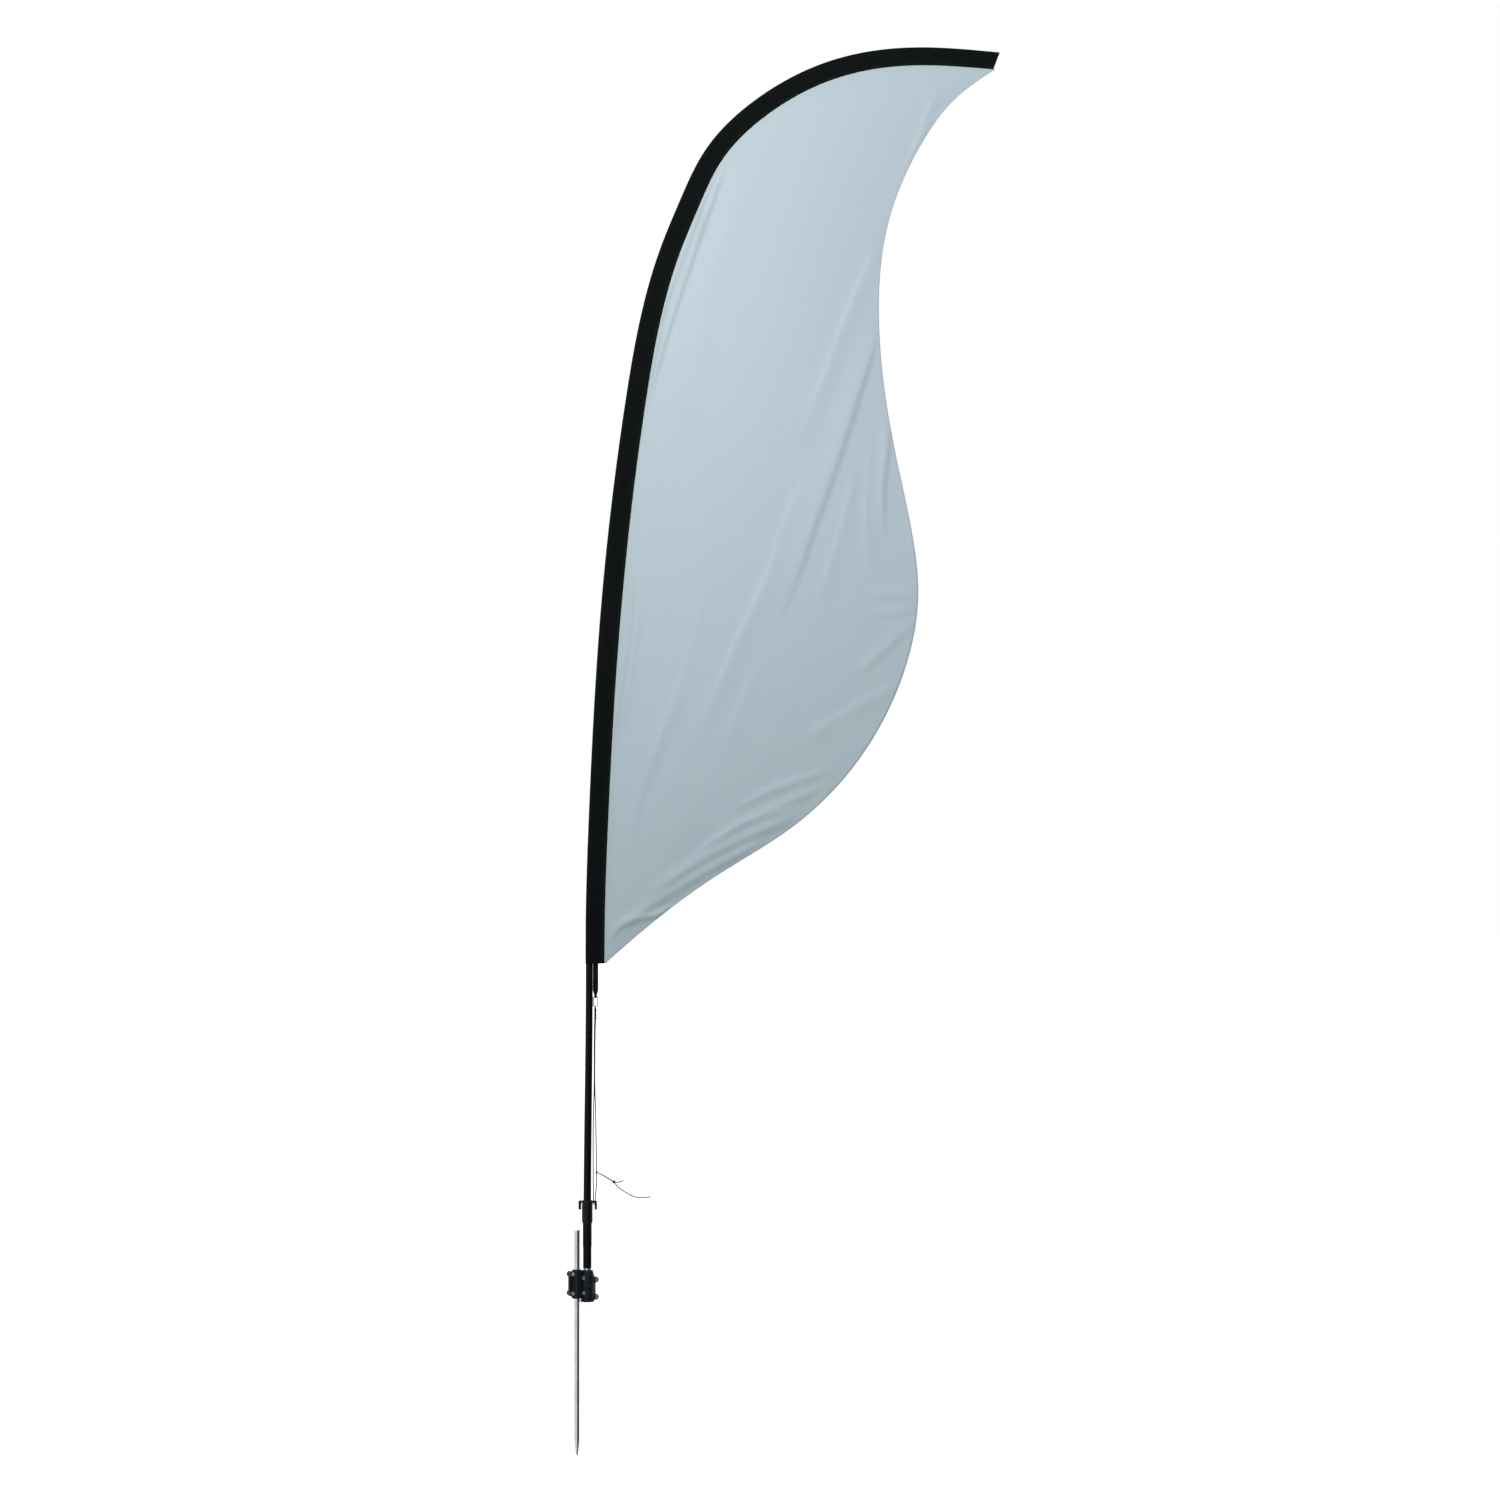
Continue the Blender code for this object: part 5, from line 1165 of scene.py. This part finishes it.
def make_stake():
    """The stake: a turned bar with a long point, drawn from its tip to its flat top."""
    share = np.linspace(0.0, 1.0, 14)[1:, None]
    start, end = np.array((STAKE_POINT_RADIUS, STAKE_TIP)), np.array((STAKE_RADIUS, STAKE_TIP + STAKE_POINT))
    tip = [(AXIS, STAKE_TIP), (STAKE_POINT_RADIUS - 0.0008, STAKE_TIP),
           (STAKE_POINT_RADIUS - 0.0003, STAKE_TIP + 0.00015)]
    taper = (start + (end - start) * share).tolist()
    shaft = [(STAKE_RADIUS, z) for z in np.linspace(end[1] + 0.0050, STAKE_TOP - 0.0020, 60)]
    top = [(STAKE_RADIUS, STAKE_TOP - 0.00105), (STAKE_RADIUS - 0.0003, STAKE_TOP - 0.00045),
           (STAKE_RADIUS - 0.0010, STAKE_TOP), (AXIS, STAKE_TOP)]
    piece = turned("stake_bar", tip + taper + shaft + top, 72, finish("drawn zinc"), "ground_stake")
    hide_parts("ground_stake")


def make_ring():
    """The wire ring: a round wire along a rounded rectangle, tighter at its top corners."""
    wire = bpy.context.scene.flag_sleeve.ring_wire / 2.0
    low, high = (np.array(end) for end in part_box("tab_ring"))
    left, right, foot, head = low[0] + wire, high[0] - wire, low[2] + wire, high[2] - wire
    corners = ((left, foot, 0.0036), (right, foot, 0.0036), (right, head, 0.0010), (left, head, 0.0010))
    arcs = []
    for number, (x, z, reach) in enumerate(corners):
        before, after = np.array(corners[number - 1][:2]), np.array(corners[(number + 1) % 4][:2])
        place = np.array((x, z))
        start, end = place + unit(before - place) * reach, place + unit(after - place) * reach
        t = np.linspace(0.0, 1.0, 12)[:, None]
        arcs.append((1 - t) ** 2 * start + 2 * t * (1 - t) * place + t ** 2 * end)
    outline = np.concatenate(arcs)
    middle = (low[1] + high[1]) / 2.0
    line = np.stack([outline[:, 0], np.full(len(outline), middle), outline[:, 1]], axis=1)
    piece, _ = tube("ring_wire", line, wire, 20, finish("bright nickel"), "pole", "nickel_steel", closed=True,
                    flat=True)
    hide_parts("tab_ring")


def make_strap():
    """The doubled webbing strap: one band that runs down, round the ring's top bar and back up.

    Beside the bar the two legs part by an eased share of the height above it; each point of the
    band's section is its centre plus half the width across and half the cloth's thickness outwards.
    """
    low, high = (np.array(end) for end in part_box("tension_tab"))
    wire = bpy.context.scene.flag_sleeve.ring_wire / 2.0
    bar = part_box("tab_ring")[1][2] - wire
    layer = STRAP_THICKNESS / 2.0
    turn = wire + layer / 2.0 + STRAP_PLAY
    apart = layer / 2.0 + STRAP_PLAY * 0.4
    height = np.linspace(high[2], bar, 60)
    spread = apart + (turn - apart) * (1.0 - smooth((height - bar) / STRAP_SHOULDER))
    angles = np.linspace(0.0, math.pi, 25)[1:-1]
    out = np.concatenate([-spread, -turn * np.cos(angles), spread[::-1]])
    up = np.concatenate([height, bar - turn * np.sin(angles), height[::-1]])
    middle = (low + high) / 2.0
    line = np.stack([np.full(len(out), middle[0]), middle[1] + out, up], axis=1)
    along = unit(np.gradient(line, axis=0))
    outward = np.stack([np.zeros(len(out)), along[:, 2], -along[:, 1]], axis=1)
    wide = high[0] - low[0]
    width = STRAP_NECK + (wide - STRAP_NECK) * np.clip((up - bar) / STRAP_TAPER - 0.6, 0.0, 1.0)
    edge = np.concatenate([np.linspace(-0.5, 0.5, 7), np.linspace(0.5, 1.5, 7)]) * math.pi
    side = np.repeat([1.0, -1.0], 7)
    across = side * (width[:, None] - layer) / 2.0 + layer / 2.0 * np.cos(edge)
    through = layer / 2.0 * np.sin(edge)
    grid = line[:, None, :] + outward[:, None, :] * through[None, :, None]
    grid[:, :, 0] += across
    around = round_lengths(np.stack([across[0], through], axis=1), layer)
    piece = surface("tab_strap", grid, around, lengths_along(line), finish("tab webbing"), "pole",
                    around=True, caps=True)
    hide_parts("tension_tab")
    steps = np.diff(lengths_along(line))
    area = float((steps * (width[1:] + width[:-1]) / 2.0).sum())
    return face_out(piece), (float(wide), float(steps.sum())), area


def make_stitches():
    """Stitches on both faces of the sleeve's seam: short raised threads, one a pitch, along the seam.

    One stitch is a ring of five points whose height is sin of its share of the stitch's length.
    """
    settings = bpy.context.scene.flag_sleeve
    long, thick, corners = settings.stitch_pitch * 0.74, 0.00028, 5
    size = corners * corners
    starts = np.arange(SLEEVE_START + 0.004, POLE_LENGTH - 0.003, settings.stitch_pitch)
    share = np.linspace(0.0, 1.0, corners)
    angle = np.linspace(0.0, math.tau, corners, endpoint=False)
    numbers, _, _ = grid_faces(corners, corners, True, False)
    caps = [np.arange(corners)[::-1], np.arange(size - corners, size)]
    points, faces = [], []
    count = 0
    for face, inset in ((-1.0, 0.0022), (-1.0, 0.0052), (1.0, 0.0022), (1.0, 0.0052)):
        distance = (starts[:, None] + share[None, :] * long).ravel()
        centre, normal, _ = pole_frame(distance)
        seam = centre + normal * (seam_inset(distance) - inset)[:, None]
        half = drop_half(1.0 - inset / seam_inset(distance), pole_radius(distance) + GAP + SLEEVE_CLOTH)
        rise = np.tile(np.sin(share * math.pi), len(starts))
        radius = thick * (0.45 + 0.55 * rise)
        level = SPINDLE_Y + face * (half - thick * 0.35 + thick * 0.5 * rise)
        ring_in = radius[:, None] * np.cos(angle)
        ring_out = face * radius[:, None] * np.sin(angle)
        grid = np.stack([seam[:, :1] + normal[:, :1] * ring_in, level[:, None] + ring_out,
                         seam[:, 1:] + normal[:, 1:] * ring_in], axis=-1)
        order = 1 if face > 0 else -1
        offsets = count + np.arange(len(starts))[:, None, None] * size
        faces += (numbers[None, :, ::order] + offsets).reshape(-1, 4).tolist()
        for cap in caps:
            faces += (cap[None, None, ::order] + offsets).reshape(-1, corners).tolist()
        points.append(grid.reshape(-1, 3))
        count += len(starts) * size
    link_mesh("seam_stitches", np.concatenate(points), faces, None, finish("dark thread"), "pole")


def dress_nodes():
    """Gives every carried-over node its finish."""
    slots = {part["node"]: part["material_slot"] for part in frame["record"]["subparts"]}
    for name, node in frame["nodes"].items():
        node.data.materials.clear()
        dark = name in ("tube_rivet", "collar_screw")
        node.data.materials.append(finish("tube powder coat" if dark else NODE_FINISHES[slots[name]]))


# ---- operators -------------------------------------------------------------------------------------
class FLAG_OT_stage(bpy.types.Operator):
    """Set the camera, the lights and the floor"""
    bl_idname = "flag.stage"
    bl_label = "Stage"

    def execute(self, context):
        make_stage()
        return {"FINISHED"}


class FLAG_OT_cords(bpy.types.Operator):
    """Make the elastic loop, its hitch, knots and tails"""
    bl_idname = "flag.cords"
    bl_label = "Elastic cord"

    def execute(self, context):
        make_cords()
        return {"FINISHED"}


class FLAG_OT_sail(bpy.types.Operator):
    """Make the sail with its folds"""
    bl_idname = "flag.sail"
    bl_label = "Sail"

    def execute(self, context):
        sail, size, area = make_sail()
        return {"FINISHED"}


class FLAG_OT_sleeve(bpy.types.Operator):
    """Make the sleeve over the pole"""
    bl_idname = "flag.sleeve"
    bl_label = "Sleeve"

    def execute(self, context):
        sleeve = make_sleeve()
        return {"FINISHED"}


class FLAG_OT_pole(bpy.types.Operator):
    """Make the four tapered tubes of the pole"""
    bl_idname = "flag.pole"
    bl_label = "Pole"

    def execute(self, context):
        make_pole()
        return {"FINISHED"}


class FLAG_OT_clamp(bpy.types.Operator):
    """Make the clamp's moulded shells and cap"""
    bl_idname = "flag.clamp"
    bl_label = "Clamp"

    def execute(self, context):
        make_clamp()
        return {"FINISHED"}


class FLAG_OT_collar(bpy.types.Operator):
    """Make the collar with its hooked ears"""
    bl_idname = "flag.collar"
    bl_label = "Collar"

    def execute(self, context):
        make_collar()
        return {"FINISHED"}


class FLAG_OT_screws(bpy.types.Operator):
    """Make the clamp's six screws"""
    bl_idname = "flag.screws"
    bl_label = "Screws"

    def execute(self, context):
        make_screws()
        return {"FINISHED"}


class FLAG_OT_spindle(bpy.types.Operator):
    """Make the spindle"""
    bl_idname = "flag.spindle"
    bl_label = "Spindle"

    def execute(self, context):
        make_spindle()
        return {"FINISHED"}


class FLAG_OT_stake(bpy.types.Operator):
    """Make the ground stake"""
    bl_idname = "flag.stake"
    bl_label = "Ground stake"

    def execute(self, context):
        make_stake()
        return {"FINISHED"}


class FLAG_OT_ring(bpy.types.Operator):
    """Make the wire ring on the strap"""
    bl_idname = "flag.ring"
    bl_label = "Ring"

    def execute(self, context):
        make_ring()
        return {"FINISHED"}


class FLAG_OT_strap(bpy.types.Operator):
    """Make the webbing strap between the sleeve and the ring"""
    bl_idname = "flag.strap"
    bl_label = "Strap"

    def execute(self, context):
        strap, size, area = make_strap()
        return {"FINISHED"}


class FLAG_OT_stitches(bpy.types.Operator):
    """Make the rows of stitches on the sleeve's seam"""
    bl_idname = "flag.stitches"
    bl_label = "Stitches"

    def execute(self, context):
        make_stitches()
        return {"FINISHED"}


class FLAG_OT_finishes(bpy.types.Operator):
    """Give the carried-over nodes their finishes"""
    bl_idname = "flag.finishes"
    bl_label = "Finishes"

    def execute(self, context):
        dress_nodes()
        return {"FINISHED"}


class FLAG_PT_workshop(bpy.types.Panel):
    """Lists the flag's pieces"""
    bl_idname = "FLAG_PT_workshop"
    bl_label = "Feather Flag"
    bl_space_type = "VIEW_3D"
    bl_region_type = "UI"
    bl_category = "Feather Flag"

    def draw(self, context):
        column = self.layout.column()
        for operator in OPERATORS:
            column.operator(operator.bl_idname)


SETTINGS = {"flag_sail": SailSettings, "flag_sleeve": SleeveSettings, "flag_cord": CordSettings,
            "flag_pole": PoleSettings, "flag_clamp": ClampSettings, "flag_stage": StageSettings}
OPERATORS = (FLAG_OT_stage, FLAG_OT_cords, FLAG_OT_finishes, FLAG_OT_sail, FLAG_OT_sleeve, FLAG_OT_stitches,
             FLAG_OT_pole, FLAG_OT_ring, FLAG_OT_strap, FLAG_OT_collar, FLAG_OT_clamp, FLAG_OT_screws,
             FLAG_OT_spindle, FLAG_OT_stake)


def register():
    for group in SETTINGS.values():
        bpy.utils.register_class(group)
    for name, group in SETTINGS.items():
        setattr(bpy.types.Scene, name, PointerProperty(type=group))
    for operator in (*OPERATORS, FLAG_PT_workshop):
        bpy.utils.register_class(operator)


def unregister():
    for operator in (FLAG_PT_workshop, *reversed(OPERATORS)):
        bpy.utils.unregister_class(operator)
    for name in SETTINGS:
        delattr(bpy.types.Scene, name)
    for group in reversed(SETTINGS.values()):
        bpy.utils.unregister_class(group)


def main():
    register()
    for operator in OPERATORS:
        group, name = operator.bl_idname.split(".")
        getattr(getattr(bpy.ops, group), name)()


if __name__ == "__main__":
    main()
